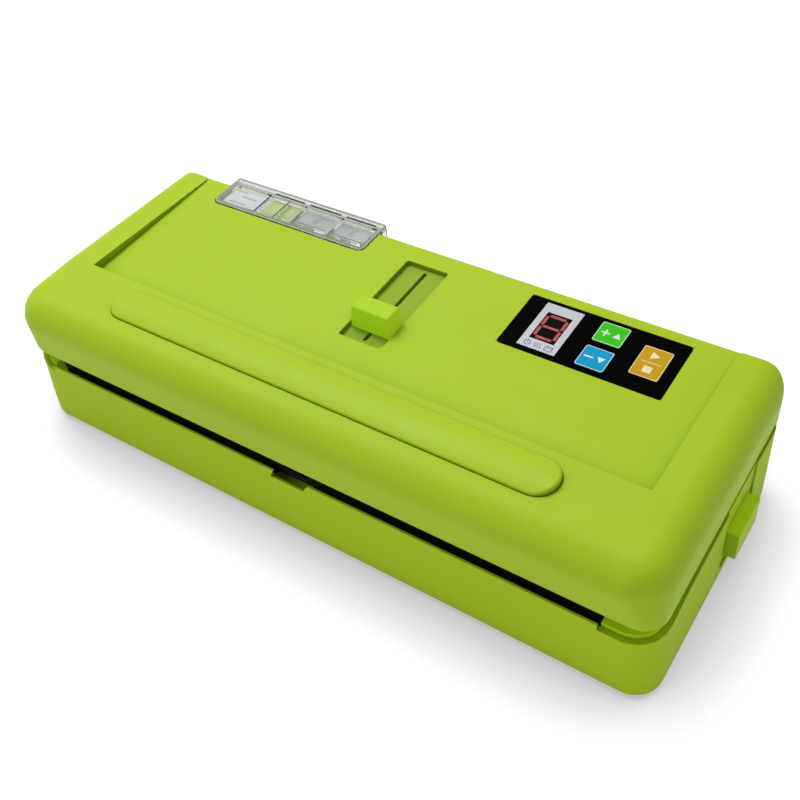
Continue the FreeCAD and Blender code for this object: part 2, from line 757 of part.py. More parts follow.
def pump_head():
    head = fuse([
        rounded_box(-62, -38, 8, 36, 5.5, 30, 3.0, "pump_case"),
        box(-38, -34, 10, 34, 7, 28, "pump_flange"),
        cyl("x", -70, 15, 24, 2.0, 9, "pump_barb"),
        cyl("x", -70, 29, 24, 2.0, 9, "pump_outlet"),
        cyl("z", -50, "pump_y", 29.9, 9, 2.2, "valve_cap"),
    ], "pump_body")
    bore = cyl("x", -39, "pump_y", "pump_z", 1.5, 6, "shaft_bore")
    return cut(head, [bore], "pump_head")


def air_port_seal():
    solid = fuse([
        cyl("z", "air_x", "air_y", "deck_top", 6.5, 3.6, "seal_lip"),
        cyl("z", "air_x", "air_y", 33.0, 3.0, 6, "seal_stem"),
    ], "seal_body")
    return cut(solid, [cyl("z", "air_x", "air_y", 32, 1.6, 12, "seal_bore")], "air_port_seal")


piece("pump_motor", pump_motor())
piece("pump_head", pump_head())
hose("pump_hose", 3.0, 2.0, [
    (-70, 15, 24), (-79, 15.5, 24.2), (-90, 21, 25.2), (-97.5, 27.2, 27.2),
    (-99.8, 29.8, 29.6), (-100, 30, 31.2), (-100, 30, 32.6),
])
piece("air_port_seal", air_port_seal())


# ---------------------------------------------------------------- electrics in the base
def transformer():
    core = fuse([
        box(72, 112, 8, 42, 8, 30, "core"),
        box(78, 106, 3, 47, 11, 27, "winding"),
        box(70, 114, 6, 44, 5.5, 8.2, "foot_plate"),
    ], "transformer_core")
    # corners at the front and back ends of the winding
    winding_end = is_vertical_end(4, 46)
    return fillet(core, winding_end, 3.0, "transformer")


def is_vertical_end(front, back):
    """Selects vertical edges in front of one Y or behind another."""
    return upright(lambda point: point.y < front or point.y > back)


def power_board():
    parts_z = 12.5  # sunk 0.1 into the board
    solid = fuse([
        box(60, 140, -45, -5, 11, 12.6, "board"),
        box(66, 85, -40, -25, parts_z, 27, "relay"),
        box(92, 106, -42, -32, parts_z, 21, "connector"),
        box(118, 136, -22, -10, parts_z, 22, "terminal_block"),
        cyl("z", 112, -34, parts_z, 6.5, 19, "capacitor"),
        cyl("z", 128, -34, parts_z, 5, 15, "capacitor"),
        box(68, 78, -20, -14, parts_z, 16, "fuse_holder"),
        box(88, 108, -22, -12, parts_z, 18, "rectifier"),
    ], "board_parts")
    holes = [cyl("z", x, y, 10, 1.2, 4, "board_hole") for x, y in BOARD_POSTS]
    return cut(solid, holes, "power_board")


def power_inlet():
    """Two-pin socket in the back wall, its mouth shaped like a figure eight."""
    left, right = 127.8, 136.2
    solid = fuse([
        rounded_box(118, 146, "body_back", "body_back+1.6", 10, 32, 0.6, "inlet_flange"),
        box(120.3, 143.7, 52, "body_back+0.2", 12.3, 29.7, "inlet_body"),
    ], "inlet_solid")
    hollow = fuse([
        cyl("y", left, 54, "inlet_z", 4.1, 30, "inlet_hole"),
        cyl("y", right, 54, "inlet_z", 4.1, 30, "inlet_hole"),
        box(left, right, 54, 84, "inlet_z-4.1", "inlet_z+4.1", "inlet_waist"),
    ], "inlet_hollow")
    pins = [cyl("y", x, 53, "inlet_z", 1.2, 12, "inlet_pin") for x in (127.7, 136.3)]
    return fuse([cut(solid, [hollow], "inlet_shell")] + pins, "power_inlet")


piece("transformer", transformer())
piece("power_board", power_board())
piece("power_inlet", power_inlet())


# ---------------------------------------------------------------- feet, screws, hinge pins
def rubber_foot(x, y):
    foot = fuse([
        cyl("z", x, y, 0, "foot_r", "foot_height", "foot_pad"),
        cyl("z", x, y, "foot_height-0.2", 2.5, 2.8, "foot_stem"),
        cyl("z", x, y, "foot_height+shell_wall", 3.3, 1.4, "foot_barb"),
    ], "foot")
    return fillet(foot, all_at(lambda point: point.z < 0.01), 1.0, "foot_round")


def case_screw(x, y):
    return screw(x, y, head=("foot_height+3", 2), shank=("foot_height+4.9", 1.25, 21),
                 drive=("foot_height+2.5", "foot_height+4"), name="case_screw")


feet = []
screws = []
for side in SIDES:
    feet += [rubber_foot(x, y) for x, y in foot_spots(side)]
    screws += [case_screw(x, y) for x, y in case_screw_spots(side)]
piece("rubber_feet", group(feet, "rubber_feet"))
piece("case_screws", group(screws, "case_screws"))
piece("hinge_pins", group([
    side_cyl(side, "hinge_in", "hinge_out", "hinge_y", "hinge_z", "pin_r", "hinge_pin")
    for side in SIDES
], "hinge_pins"))


# ---------------------------------------------------------------- release buttons and springs
def release_button(side):
    head = side_box(side, "base_half-2.9", "button_out", "button_front", "button_back",
                    "button_bottom", "button_top", "button_head")
    depth = val("button_out") - val("base_half") + 2.9
    outside = all_at(lambda point: abs(point.x) > val("button_out") - 0.01)
    head = fillet(head, lambda edge: outside(edge) or abs(edge.Length - depth) < 0.01, 0.6,
                  "button_head_round")
    flange = side_box(side, 180, 182.7, -0.5, 33, 11, 28, "button_flange")
    boss = side_cyl(side, 176.5, 180.2, SPRING_Y, "spring_z", 2.0, "button_boss")
    catch = side_box(side, 177.2, 180.2, 9, 23, 24.2, 27.2, "button_catch")
    relief = side_box(side, 182, 183.6, 0, 34, 28.3, 37, "button_relief")
    return cut(fuse([head, flange, boss, catch], "button"), [relief], "release_button")


def button_spring(side):
    helix = fresh("Part::Helix", "spring_path")
    helix.Pitch = 2.1
    helix.Height = 11.0
    helix.Radius = 3.0
    helix.Placement = FreeCAD.Placement(V(), AXES["x"])
    bind_base(helix, span(side, 168.4, 179.4)[0], SPRING_Y, "spring_z")
    doc.recompute()
    edge = helix.Shape.Edges[0]
    start = edge.valueAt(edge.FirstParameter)
    tangent = edge.tangentAt(edge.FirstParameter)
    wire = fresh("Part::Circle", "spring_wire")
    wire.Radius = 0.4
    wire.Placement = FreeCAD.Placement(start, FreeCAD.Rotation(V(0, 0, 1), tangent))
    sweep = fresh("Part::Sweep", "spring")
    sweep.Sections = [wire]
    sweep.Spine = (helix, [])
    sweep.Solid = True
    sweep.Frenet = True
    return sweep


for side, side_name in zip(SIDES, ("right", "left")):
    piece("release_button_" + side_name, release_button(side))
    piece("button_spring_" + side_name, button_spring(side))


# ---------------------------------------------------------------- lid shell
def on_top_rim(edge):
    """Front and side top edges, without the crease across the front of the slope."""
    points = [vertex.Point for vertex in edge.Vertexes]
    if min(point.z for point in points) < 76 or min(point.y for point in points) > 100:
        return False
    first, last = points[0], points[-1]
    level = abs(first.y - last.y) < 0.01 and abs(first.y - val("floor_front")) < 0.01
    return not (level and abs(first.x - last.x) > 100)


def lid_blank():
    """Solid outside of the lid; it is made too long at the back, then trimmed."""
    slope_end = "lid_back_top-(110-body_back)*(lid_top-lid_back_top)/(body_back-floor_front)"
    profile = [("lid_front", "lid_bottom"), (110, "lid_bottom"), (110, slope_end),
               ("floor_front", "lid_top"), ("lid_front", "lid_top")]
    blank = prism(profile, "YZ", "-lid_half", "lid_half", "lid_blank")
    blank = fillet(blank, upright(lambda point: point.y < 0 and point.x < 0),
                   val("lid_corner"), "lid_left_corner")
    blank = tapered_corner(blank, 1, -1, val("lid_corner_low"), val("lid_corner") + 2.0,
                           "lid_right_corner")
    blank = fillet(blank, on_top_rim, val("lid_round"), "lid_top_round")
    trim = box("-lid_half", "lid_half", -90, "body_back", 40, 95, "lid_trim_side")
    trim = fillet(trim, upright(lambda point: point.y > 0), val("lid_back_corner"),
                  "lid_back_corners")
    return common(blank, trim, "lid_body")


PAD_END_R = (val("pad_back") - val("pad_front")) / 2


def tank_bay(name):
    return box(-146, -35.8, 47, BACK_INSIDE, 57, "floor_top-shell_wall+0.05", name)


def hollow_lid():
    cavity = rounded_box("-lid_half+shell_wall", "lid_half-shell_wall", "lid_front+shell_wall",
                         BACK_INSIDE, "lid_bottom-2", "floor_top-shell_wall",
                         val("corner_radius") - val("shell_wall") + 0.5, "lid_cavity")
    ceiling = val("floor_top") - val("shell_wall")
    cavity = fillet(cavity, all_at(lambda point: point.z > ceiling - 0.01), 9.0,
                    "lid_cavity_round")
    front = box(-168, 168, "lid_front+12", "floor_front-shell_wall", "floor_top-shell_wall-1",
                "lid_top-shell_wall-0.6", "lid_cavity_front")
    floor_cut = box("-floor_half", "floor_half", "floor_front", "body_back+5",
                    "floor_top", "lid_top+5", "recess_floor")
    seat = box(*grown(PAD_RECT, "pad_gap"), "pad_seat", "lid_top+1", "pad_seat")
    seat = fillet(seat, is_vertical, PAD_END_R + val("pad_gap") - 0.01, "pad_seat_round")
    panel_bay = box(55, 145, 50, BACK_INSIDE, 60, "floor_top-shell_wall", "panel_bay")
    lid = cut(lid_blank(), [cavity, front, floor_cut, seat, panel_bay, tank_bay("tank_bay")],
              "lid_open")
    # inner edges of the side rims, at their back ends
    half = val("floor_half")
    rim_end = upright(lambda point: abs(abs(point.x) - half) < 0.01 and point.y > 60)
    return fillet(lid, rim_end, 3.0, "rim_end_round")


def slider_recess():
    recess = box("-slide_recess_half", "slide_recess_half", "slide_recess_front",
                 "slide_recess_back", "slide_recess_floor", "lid_top+5", "slider_recess")
    recess = fillet(recess, upright(lambda point: point.y < 0 and point.x > 0), 3.0,
                    "slider_recess_right")
    half = val("slide_recess_half")
    other_corners = upright(lambda point: abs(abs(point.x) - half) < 0.01
                            and (point.y > 50 or point.x < 0))
    return fillet(recess, other_corners, 1.5, "slider_recess_corners")


def tank_opening():
    opening = box("tank_left-tank_gap", "tank_right+tank_gap", "tank_front-tank_gap",
                  "body_back+5", "tank_bottom-tank_gap", "lid_top+5", "tank_opening")
    return fillet(opening, upright(lambda point: point.y < 60), 4.0, "tank_opening_round")


def lid_shell():
    add = [
        hollow_lid(),
        box(-15.5, 15.5, -12, 62.5, "slide_recess_floor-2.5", "floor_top-shell_wall+0.1",
            "slider_boss"),
    ]
    for side in SIDES:
        knuckle = ("lid_knuckle_in", "lid_knuckle_out")
        add.append(side_cyl(side, *knuckle, "hinge_y", "hinge_z", "knuckle_r", "lid_knuckle"))
        add.append(side_box(side, *knuckle, "hinge_y", "body_back", "hinge_z", "hinge_z+10",
                            "lid_knuckle_neck"))
        for x, y in lid_screw_spots(side):
            add.append(cyl("z", x, y, "liner_bottom+liner_t", 4, 20, "lid_post"))
    for x in (63, 137):
        for y in (27.5, 57):
            add.append(cyl("z", x, y, "board_bottom+board_t", 2.0, 8, "panel_post"))
    lid = fuse(add, "lid_with_posts")
    tools = [
        slider_recess(),
        tank_bay("tank_bay_clear"),
        box("-slot_half", "slot_half", "slot_front", "slot_back", "slide_recess_floor-5",
            "slide_recess_floor+1", "slider_slot"),
        box(*grown(PANEL_RECT, 0.15), "panel_bottom", "lid_top+5", "panel_seat"),
        box(*grown(DIGIT_RECT, 0.4), "panel_bottom-6", "lid_top", "digit_window"),
        tank_opening(),
    ]
    for rect in KEYS.values():
        tools.append(box(*grown(rect, "2*key_gap"), "panel_bottom-6", "lid_top", "key_opening"))
    for side in SIDES:
        for x_in, x_out in (("hinge_in-0.5", "lid_knuckle_in-0.2"),
                            ("lid_knuckle_out+0.2", "hinge_out+0.5")):
            tools.append(side_cyl(side, x_in, x_out, "hinge_y", "hinge_z",
                                  "knuckle_r+knuckle_gap", "knuckle_relief"))
        tools.append(side_cyl(side, "hinge_in-1", "hinge_out+1", "hinge_y", "hinge_z",
                              "pin_r+pin_gap", "pin_hole"))
        for x, y in lid_screw_spots(side):
            tools.append(cyl("z", x, y, "liner_bottom", 1.35, 14, "pilot"))
    return cut(lid, tools, "lid_shell")


piece("lid_shell", lid_shell())


# ---------------------------------------------------------------- press pad on the front strip
def press_bar():
    """Long pad with round ends and a top crowned by a large cylinder."""
    crown_r = 28
    block = rounded_box(*PAD_RECT, "pad_seat", "pad_top+1", PAD_END_R - 0.01, "pad_block")
    crown = cyl("x", "-pad_half-5", "(pad_front+pad_back)/2", "pad_top-%d" % crown_r, crown_r,
                "2*pad_half+10", "pad_crown")
    bar = common(block, crown, "pad_crowned")
    high = all_at(lambda point: point.z > val("pad_seat") + 1.0)
    return fillet(bar, lambda edge: high(edge) and not is_vertical(edge), 1.3, "press_bar")


piece("press_bar", press_bar())


# ---------------------------------------------------------------- lid liner, screws and hooks
def lid_liner():
    outline = rounded_box("-lid_half+shell_wall+0.3", "lid_half-shell_wall-0.3",
                          "lid_front+shell_wall+0.3", BACK_INSIDE + "-0.3", 40, 70,
                          val("corner_radius") - val("shell_wall") + 0.2, "liner_outline")
    liner = fuse([
        box(-190, 190, -80, 57.5, "liner_bottom", "liner_bottom+liner_t", "liner_sheet"),
        box("-jaw_half", "jaw_half", "jaw_front", "jaw_back", 49, "liner_bottom+0.2",
            "strip_holder"),
        box("-strip_half-2", "strip_half+2", -57.8, -56.2, 49, "liner_bottom+0.2", "foam_rib"),
    ], "liner_solid")
    liner = common(liner, outline, "liner_trimmed")
    tools = [
        box(-4, 4, -3.5, 55.5, "liner_bottom-1", "liner_bottom+liner_t+1", "nozzle_slot"),
        cyl("z", "air_x", "air_y", "liner_bottom-1", 3.05, 6, "air_hole"),
    ]
    for side in (-1, 1):
        for x, y in lid_screw_spots(side):
            tools.append(cyl("z", x, y, "liner_bottom-1", 1.6, 6, "liner_hole"))
    return cut(liner, tools, "lid_liner")


def lid_screw(x, y):
    return screw(x, y, head=("liner_bottom-1.8", 1.8), shank=("liner_bottom-0.2", 1.3, 12),
                 drive=("liner_bottom-2", "liner_bottom-1"), name="lid_screw")


def lid_hook(side):
    return fuse([
        side_box(side, 176, 178.5, 10, 22, 29.5, "liner_bottom", "hook_arm"),
        side_box(side, 178.4, 180, 10, 22, 29.5, 33, "hook_barb"),
        side_box(side, 168, 180.5, 8, 24, "liner_bottom-2", "liner_bottom", "hook_foot"),
    ], "hook")


piece("lid_liner", lid_liner())
piece("lid_screws", group([
    lid_screw(x, y) for side in (-1, 1) for x, y in lid_screw_spots(side)
], "lid_screws"))
piece("lid_hooks", group([lid_hook(side) for side in SIDES], "lid_hooks"))


# ---------------------------------------------------------------- key panel
def centre(rect):
    x0, x1, y0, y1 = rect
    return (x0 + x1) / 2, (y0 + y1) / 2


def control_overlay():
    panel = body_piece("control_overlay")
    pad(panel, PANEL_RECT, "panel_bottom", "panel_top")
    body_fillet(panel, is_vertical, 2.0)
    pocket(panel, FRAME_RECT, "panel_bottom", "panel_top", "display_window")
    for rect in KEYS.values():
        pocket(panel, grown(rect, "key_gap"), "panel_bottom", "panel_top", "key_window")
    key_corner = upright(lambda point: 95 < point.x < 137 and 25 < point.y < 59)
    body_fillet(panel, key_corner, 1.2)


def digit_segments():
    """Seven pointed bars of a figure eight, laid on the digit module."""
    mid_x, mid_y = centre([val(alias) for alias in DIGIT_RECT])
    half_width, half_height = 5.5, 7.75
    half_bar = 0.8
    gap = 0.22
    segments = []

    def add_segment(points):
        placed = [(mid_x + x, mid_y + y) for x, y in points]
        segments.append(prism(placed, "XY", "panel_top-0.1", "panel_top", "segment"))

    tip = half_width - half_bar - gap
    shoulder = tip - half_bar
    for y in (half_height, 0.0, -half_height):
        add_segment([(-tip, y), (-shoulder, y - half_bar), (shoulder, y - half_bar),
                     (tip, y), (shoulder, y + half_bar), (-shoulder, y + half_bar)])
    for side in (-1, 1):
        x = side * (half_width - half_bar + 0.4)
        for y0, y1 in ((0.0, half_height), (-half_height, 0.0)):
            low = y0 + gap + 0.1
            high = y1 - gap - 0.1
            add_segment([(x, low), (x + half_bar, low + half_bar), (x + half_bar, high - half_bar),
                         (x, high), (x - half_bar, high - half_bar), (x - half_bar, low + half_bar)])
    return group(segments, "digit_segments")


def key_piece(label, rect):
    """Key cap with a wider flange under the lid floor and a square stem below."""
    key = body_piece(label)
    pad(key, rect, "floor_top-shell_wall-0.3", "key_top")
    body_fillet(key, is_vertical, 1.0)
    pad(key, grown(rect, 0.9), "floor_top-shell_wall-1.1", "floor_top-shell_wall-0.2")
    x, y = centre(rect)
    pad(key, (x - 1.5, x + 1.5, y - 1.5, y + 1.5), 73.3, "floor_top-shell_wall-1.0")


def tact_switch(rect):
    x, y = centre(rect)
    return fuse([
        box(x - 3, x + 3, y - 3, y + 3, "board_bottom+board_t", 71.6, "switch_case"),
        cyl("z", x, y, 71.5, 1.7, 1.1, "switch_plunger"),
    ], "tact_switch")


control_overlay()

bezel = body_piece("display_bezel")
pad(bezel, FRAME_RECT, "panel_bottom", "panel_top+0.05")
pocket(bezel, grown(DIGIT_RECT, 0.15), "panel_bottom", "panel_top+0.05", "digit_window")

piece("digit_display",
      box(*DIGIT_RECT, "board_bottom+board_t", "panel_top-0.1", "led_module"))
piece("digit_segments", digit_segments())
for label, rect in KEYS.items():
    key_piece(label, rect)

board = body_piece("control_board")
pad(board, ("panel_left+1.6", "panel_right-1.6", "panel_front+1.8", "panel_back-1.6"),
    "board_bottom", "board_bottom+board_t")
pad(board, (88.5, 94.5, 28, 40), "board_bottom-4", "board_bottom+0.1", name="ic")
pad(board, (115, 120, 27, 35), "board_bottom-7", "board_bottom+0.1", name="plug")

piece("tact_switches", group([tact_switch(rect) for rect in KEYS.values()], "tact_switches"))


# ---------------------------------------------------------------- slider, carriage, rails, nozzle
def slider_knob():
    knob = body_piece("slider_knob")
    pad(knob, ("-knob_half", "knob_half", "knob_front", "knob_back"), "knob_bottom", "knob_top",
        taper="-knob_draft")
    at_bottom = all_at(lambda point: point.z < val("knob_bottom") + 0.01)
    body_fillet(knob, lambda edge: not at_bottom(edge), 0.9)
    pad(knob, ("-stem_half", "stem_half", "stem_front", "stem_back"),
        "slide_recess_floor-5.5", "knob_bottom+0.5", name="stem")


def nozzle_rail(side):
    return fuse([
        side_box(side, 11.3, 13.3, -12, 60, 62, "slide_recess_floor-2.5", "rail_web"),
        side_box(side, 7.8, 13.3, -12, 60, 62, 63.7, "rail_lip"),
    ], "rail")


def nozzle():
    body = fuse([
        box("-nozzle_half", "nozzle_half", "nozzle_tip", "nozzle_end", "nozzle_bottom",
            "nozzle_top", "nozzle_blade"),
        box(-3, 3, 6, "nozzle_end", "nozzle_top-0.2", 64, "nozzle_duct"),
        cyl("x", -6, "barb_y", "barb_z", 1.5, 4, "nozzle_barb"),
    ], "nozzle_body")
    body = fillet(body, upright(lambda point: point.y < val("nozzle_tip") + 0.01), 1.4,
                  "nozzle_tip_round")
    return cut(body, [
        box("-nozzle_half+1", "nozzle_half-1", "nozzle_tip-1", "nozzle_end-1.5",
            "nozzle_bottom+0.8", "nozzle_top-0.8", "air_gap"),
        box(-1.6, 1.6, 7.5, 12.5, "nozzle_bottom+1", 61, "air_riser"),
        cyl("x", -7, "barb_y", "barb_z", 0.8, 6, "barb_bore"),
    ], "nozzle")


slider_knob()

carriage = body_piece("nozzle_carriage")
pad(carriage, (-11, 11, -3, 21), 64, "slide_recess_floor-5.5")
body_fillet(carriage, is_vertical, 1.5)

piece("nozzle_rails", group([nozzle_rail(side) for side in SIDES], "nozzle_rails"))
piece("nozzle", nozzle())
hose("nozzle_hose", 2.2, 1.55, [
    (-4.2, 10, 59.2), (-14, 10.4, 59.2), (-30, 14, 59.4), (-47, 26, 60.6),
    (-56.5, 34.5, 63.6), (-59.4, 39.0, 65.6), (-60, 41.4, 66.0), (-60, 43.1, 66.0),
])


# ---------------------------------------------------------------- seat of the liquid trap
def tank_tray():
    outer = ("tank_left-2.5", "tank_right+2.5")
    wall_top = "floor_top-shell_wall"
    tray = fuse([
        box(*outer, 47.5, BACK_INSIDE, 57.5, "tank_bottom-tank_gap", "tray_floor"),
        box(*outer, 47.5, "tank_front-tank_gap-0.2", 57.5, wall_top, "tray_front"),
        box(outer[0], "tank_left-tank_gap", 47.5, BACK_INSIDE, 57.5, wall_top, "tray_left"),
        box("tank_right+tank_gap", outer[1], 47.5, BACK_INSIDE, 57.5, wall_top, "tray_right"),
    ], "tray")
    tools = [box(x, x + 20, 53, 61, 56, 61, "tray_window") for x in (-136, -108, -80)]
    tools += [cyl("y", x, 40, "port_z", 1.6, 12, "port_hole") for x in PORT_XS]
    return cut(tray, tools, "tank_tray")


def tank_port(x):
    port = fuse([
        cyl("y", x, 43.2, "port_z", 1.5, 6.4, "port_tube"),
        cyl("y", x, 46, "port_z", 3.5, 1.5, "port_flange"),
    ], "port")
    return cut(port, [cyl("y", x, 40, "port_z", 0.9, 12, "port_bore")], "tank_port")


def tank_gasket(x):
    ring = cyl("y", x, "tank_front-tank_gap-0.2", "port_z", 3.6, 0.68, "ring")
    return cut(ring, [cyl("y", x, 45, "port_z", 1.8, 8, "ring_hole")], "tank_gasket")


def lid_air_port():
    pipe = fuse([
        cyl("z", "air_x", "air_y", 44.2, 3.0, 13.2, "port_pipe"),
        cyl("z", "air_x", "air_y", 51.5, 6, 2.5, "port_collar"),
    ], "air_pipe")
    return cut(pipe, [cyl("z", "air_x", "air_y", 43, 1.5, 16, "air_bore")], "lid_air_port")


piece("tank_tray", tank_tray())
piece("tank_ports", group([tank_port(x) for x in PORT_XS], "tank_ports"))
piece("tank_gaskets", group([tank_gasket(x) for x in PORT_XS], "tank_gaskets"))
hose("lid_hose", 2.2, 1.55, [
    (-122, 43.1, 66), (-122, 41.4, 66), (-121.2, 38.2, 65.8), (-117, 34, 65.2),
    (-109, 31, 64.2), (-102.6, 30.1, 62.4), (-100.2, 30, 60.2), (-100, 30, 58.9),
    (-100, 30, 57.75),
])
piece("lid_air_port", lid_air_port())

# ---------------------------------------------------------------- liquid trap
# left and right of each chamber
CHAMBERS = [
    ("tank_left+tank_wall", -115.6), (-114.4, -91.5),
    (-90.1, -66.1), (-64.7, "tank_right-tank_wall"),
]
tank_front_corner = upright(lambda point: point.y < 60)
tank_back_corner = upright(lambda point: point.y > val("tank_back") - 0.01)


def liquid_tank():
    outer = box(*TANK_RECT, "tank_bottom", "tank_top-2", "tank_outer")
    outer = fillet(outer, tank_front_corner, 3.5, "tank_front_corners")
    outer = fillet(outer, tank_back_corner, 1.0, "tank_back_corners")
    tools = []
    for x0, x1 in CHAMBERS:
        tools.append(rounded_box(x0, x1, "tank_front+tank_wall", "tank_back-tank_wall",
                                 "tank_bottom+tank_wall", "tank_top+2", 1.5, "tank_chamber"))
    tools += [box(x - 3, x + 3, 60, 66, 63, 66, "drain") for x in (-115, -90.8, -65.4)]
    tools += [cyl("y", x, 49, "port_z", 1.9, 5, "inlet_hole") for x in PORT_XS]
    return cut(outer, tools, "liquid_tank")


def tank_cover():
    """Dished cover with ribs across it and grooves along its back."""
    cover = body_piece("tank_cover")
    pad(cover, TANK_RECT, "tank_top-2", "tank_top")
    body_fillet(cover, tank_front_corner, 3.5)
    body_fillet(cover, tank_back_corner, 1.0)
    pocket(cover, ("tank_left+2.4", "tank_right-2.4", "tank_front+2.4", "tank_back-5.5"),
           "tank_top-0.8", "tank_top", "cover_dish")
    for x, half in ((-115.0, 0.5), (-101.4, 0.35), (-90.8, 0.7), (-65.4, 0.7)):
        pad(cover, (x - half, x + half, "tank_front+1.5", "tank_back-5"),
            "tank_top-1", "tank_top-0.05", name="cover_rib")
    for x0, x1 in ((-114, -92.5), (-89, -67), (-63.8, -43.5)):
        pocket(cover, (x0, x1, "tank_back-3.6", "tank_back-2.4"), "tank_top-0.7", "tank_top",
               "cover_groove")


def insert(x0, x1, y0, y1, z0, z1, name):
    """Plate standing on two legs on a chamber floor."""
    solids = [rounded_box(x0, x1, y0, y1, z0, z1, 1.5, name)]
    for x in (x0 + 3.5, x1 - 3.5):
        solids.append(box(x - 0.6, x + 0.6, y0 + 1.5, y1 - 1.5, "tank_bottom+tank_wall",
                          z0 + 0.1, name + "_leg"))
    return fuse(solids, name + "_on_legs")


piece("liquid_tank", liquid_tank())
tank_cover()
# inserts in the two chambers on the right
piece("tank_baffles", group([
    insert(-89.5, -67.5, 58.5, 68.5, 74.4, 75.5, "baffle"),
    insert(-64.0, -43.5, 58.5, 68.5, 74.4, 75.5, "baffle"),
], "tank_baffles"))
# float plate of the overflow chamber, second from the left
piece("tank_float", insert(-113.8, -92.2, 52.8, 69.5, 73.6, 74.8, "float"))

# ---------------------------------------------------------------- checks and export
doc.recompute()
bad = []
for obj in doc.Objects:
    if "Invalid" in obj.State or "Error" in obj.State:
        bad.append("%s %s %s" % (obj.Name, obj.Label, obj.State))
for label, obj in PARTS.items():
    if obj.Shape.isNull() or not obj.Shape.isValid() or not obj.Shape.Solids:
        bad.append("shape of %s" % label)
if bad:
    raise RuntimeError("; ".join(bad))
os.makedirs("parts", exist_ok=True)
for label, obj in PARTS.items():
    obj.Shape.exportStep("parts/%s.step" % label)
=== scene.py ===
# A table-top vacuum bag sealer: green case and lid, keys and display on the lid,
# clear liquid trap at the back left. Metres, +Z up: the long side runs along X (left is -X),
# the front faces -Y, and the floor is the ground plane.
import bpy, bmesh, math, random
from mathutils import Vector, Matrix


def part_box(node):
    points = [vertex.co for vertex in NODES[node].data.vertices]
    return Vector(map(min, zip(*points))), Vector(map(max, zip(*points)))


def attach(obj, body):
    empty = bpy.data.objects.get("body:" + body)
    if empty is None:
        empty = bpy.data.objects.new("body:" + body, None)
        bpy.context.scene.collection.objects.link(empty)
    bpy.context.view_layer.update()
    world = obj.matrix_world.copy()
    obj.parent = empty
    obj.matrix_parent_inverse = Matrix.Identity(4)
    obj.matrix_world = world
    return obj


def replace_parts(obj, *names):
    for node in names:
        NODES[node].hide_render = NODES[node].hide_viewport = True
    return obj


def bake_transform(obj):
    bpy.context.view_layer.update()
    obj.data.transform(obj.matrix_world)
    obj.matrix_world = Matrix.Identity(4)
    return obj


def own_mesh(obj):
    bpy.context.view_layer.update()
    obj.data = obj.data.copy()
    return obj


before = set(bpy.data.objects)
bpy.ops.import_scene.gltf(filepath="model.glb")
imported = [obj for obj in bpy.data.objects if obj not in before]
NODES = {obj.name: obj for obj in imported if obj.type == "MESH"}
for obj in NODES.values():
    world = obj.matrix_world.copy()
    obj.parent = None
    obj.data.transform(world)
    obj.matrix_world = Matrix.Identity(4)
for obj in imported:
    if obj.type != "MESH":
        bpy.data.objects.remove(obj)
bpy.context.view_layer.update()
SCENE = bpy.context.scene
SCENE.view_settings.view_transform = "Standard"
SCENE.view_settings.look = "None"
MM = 0.001


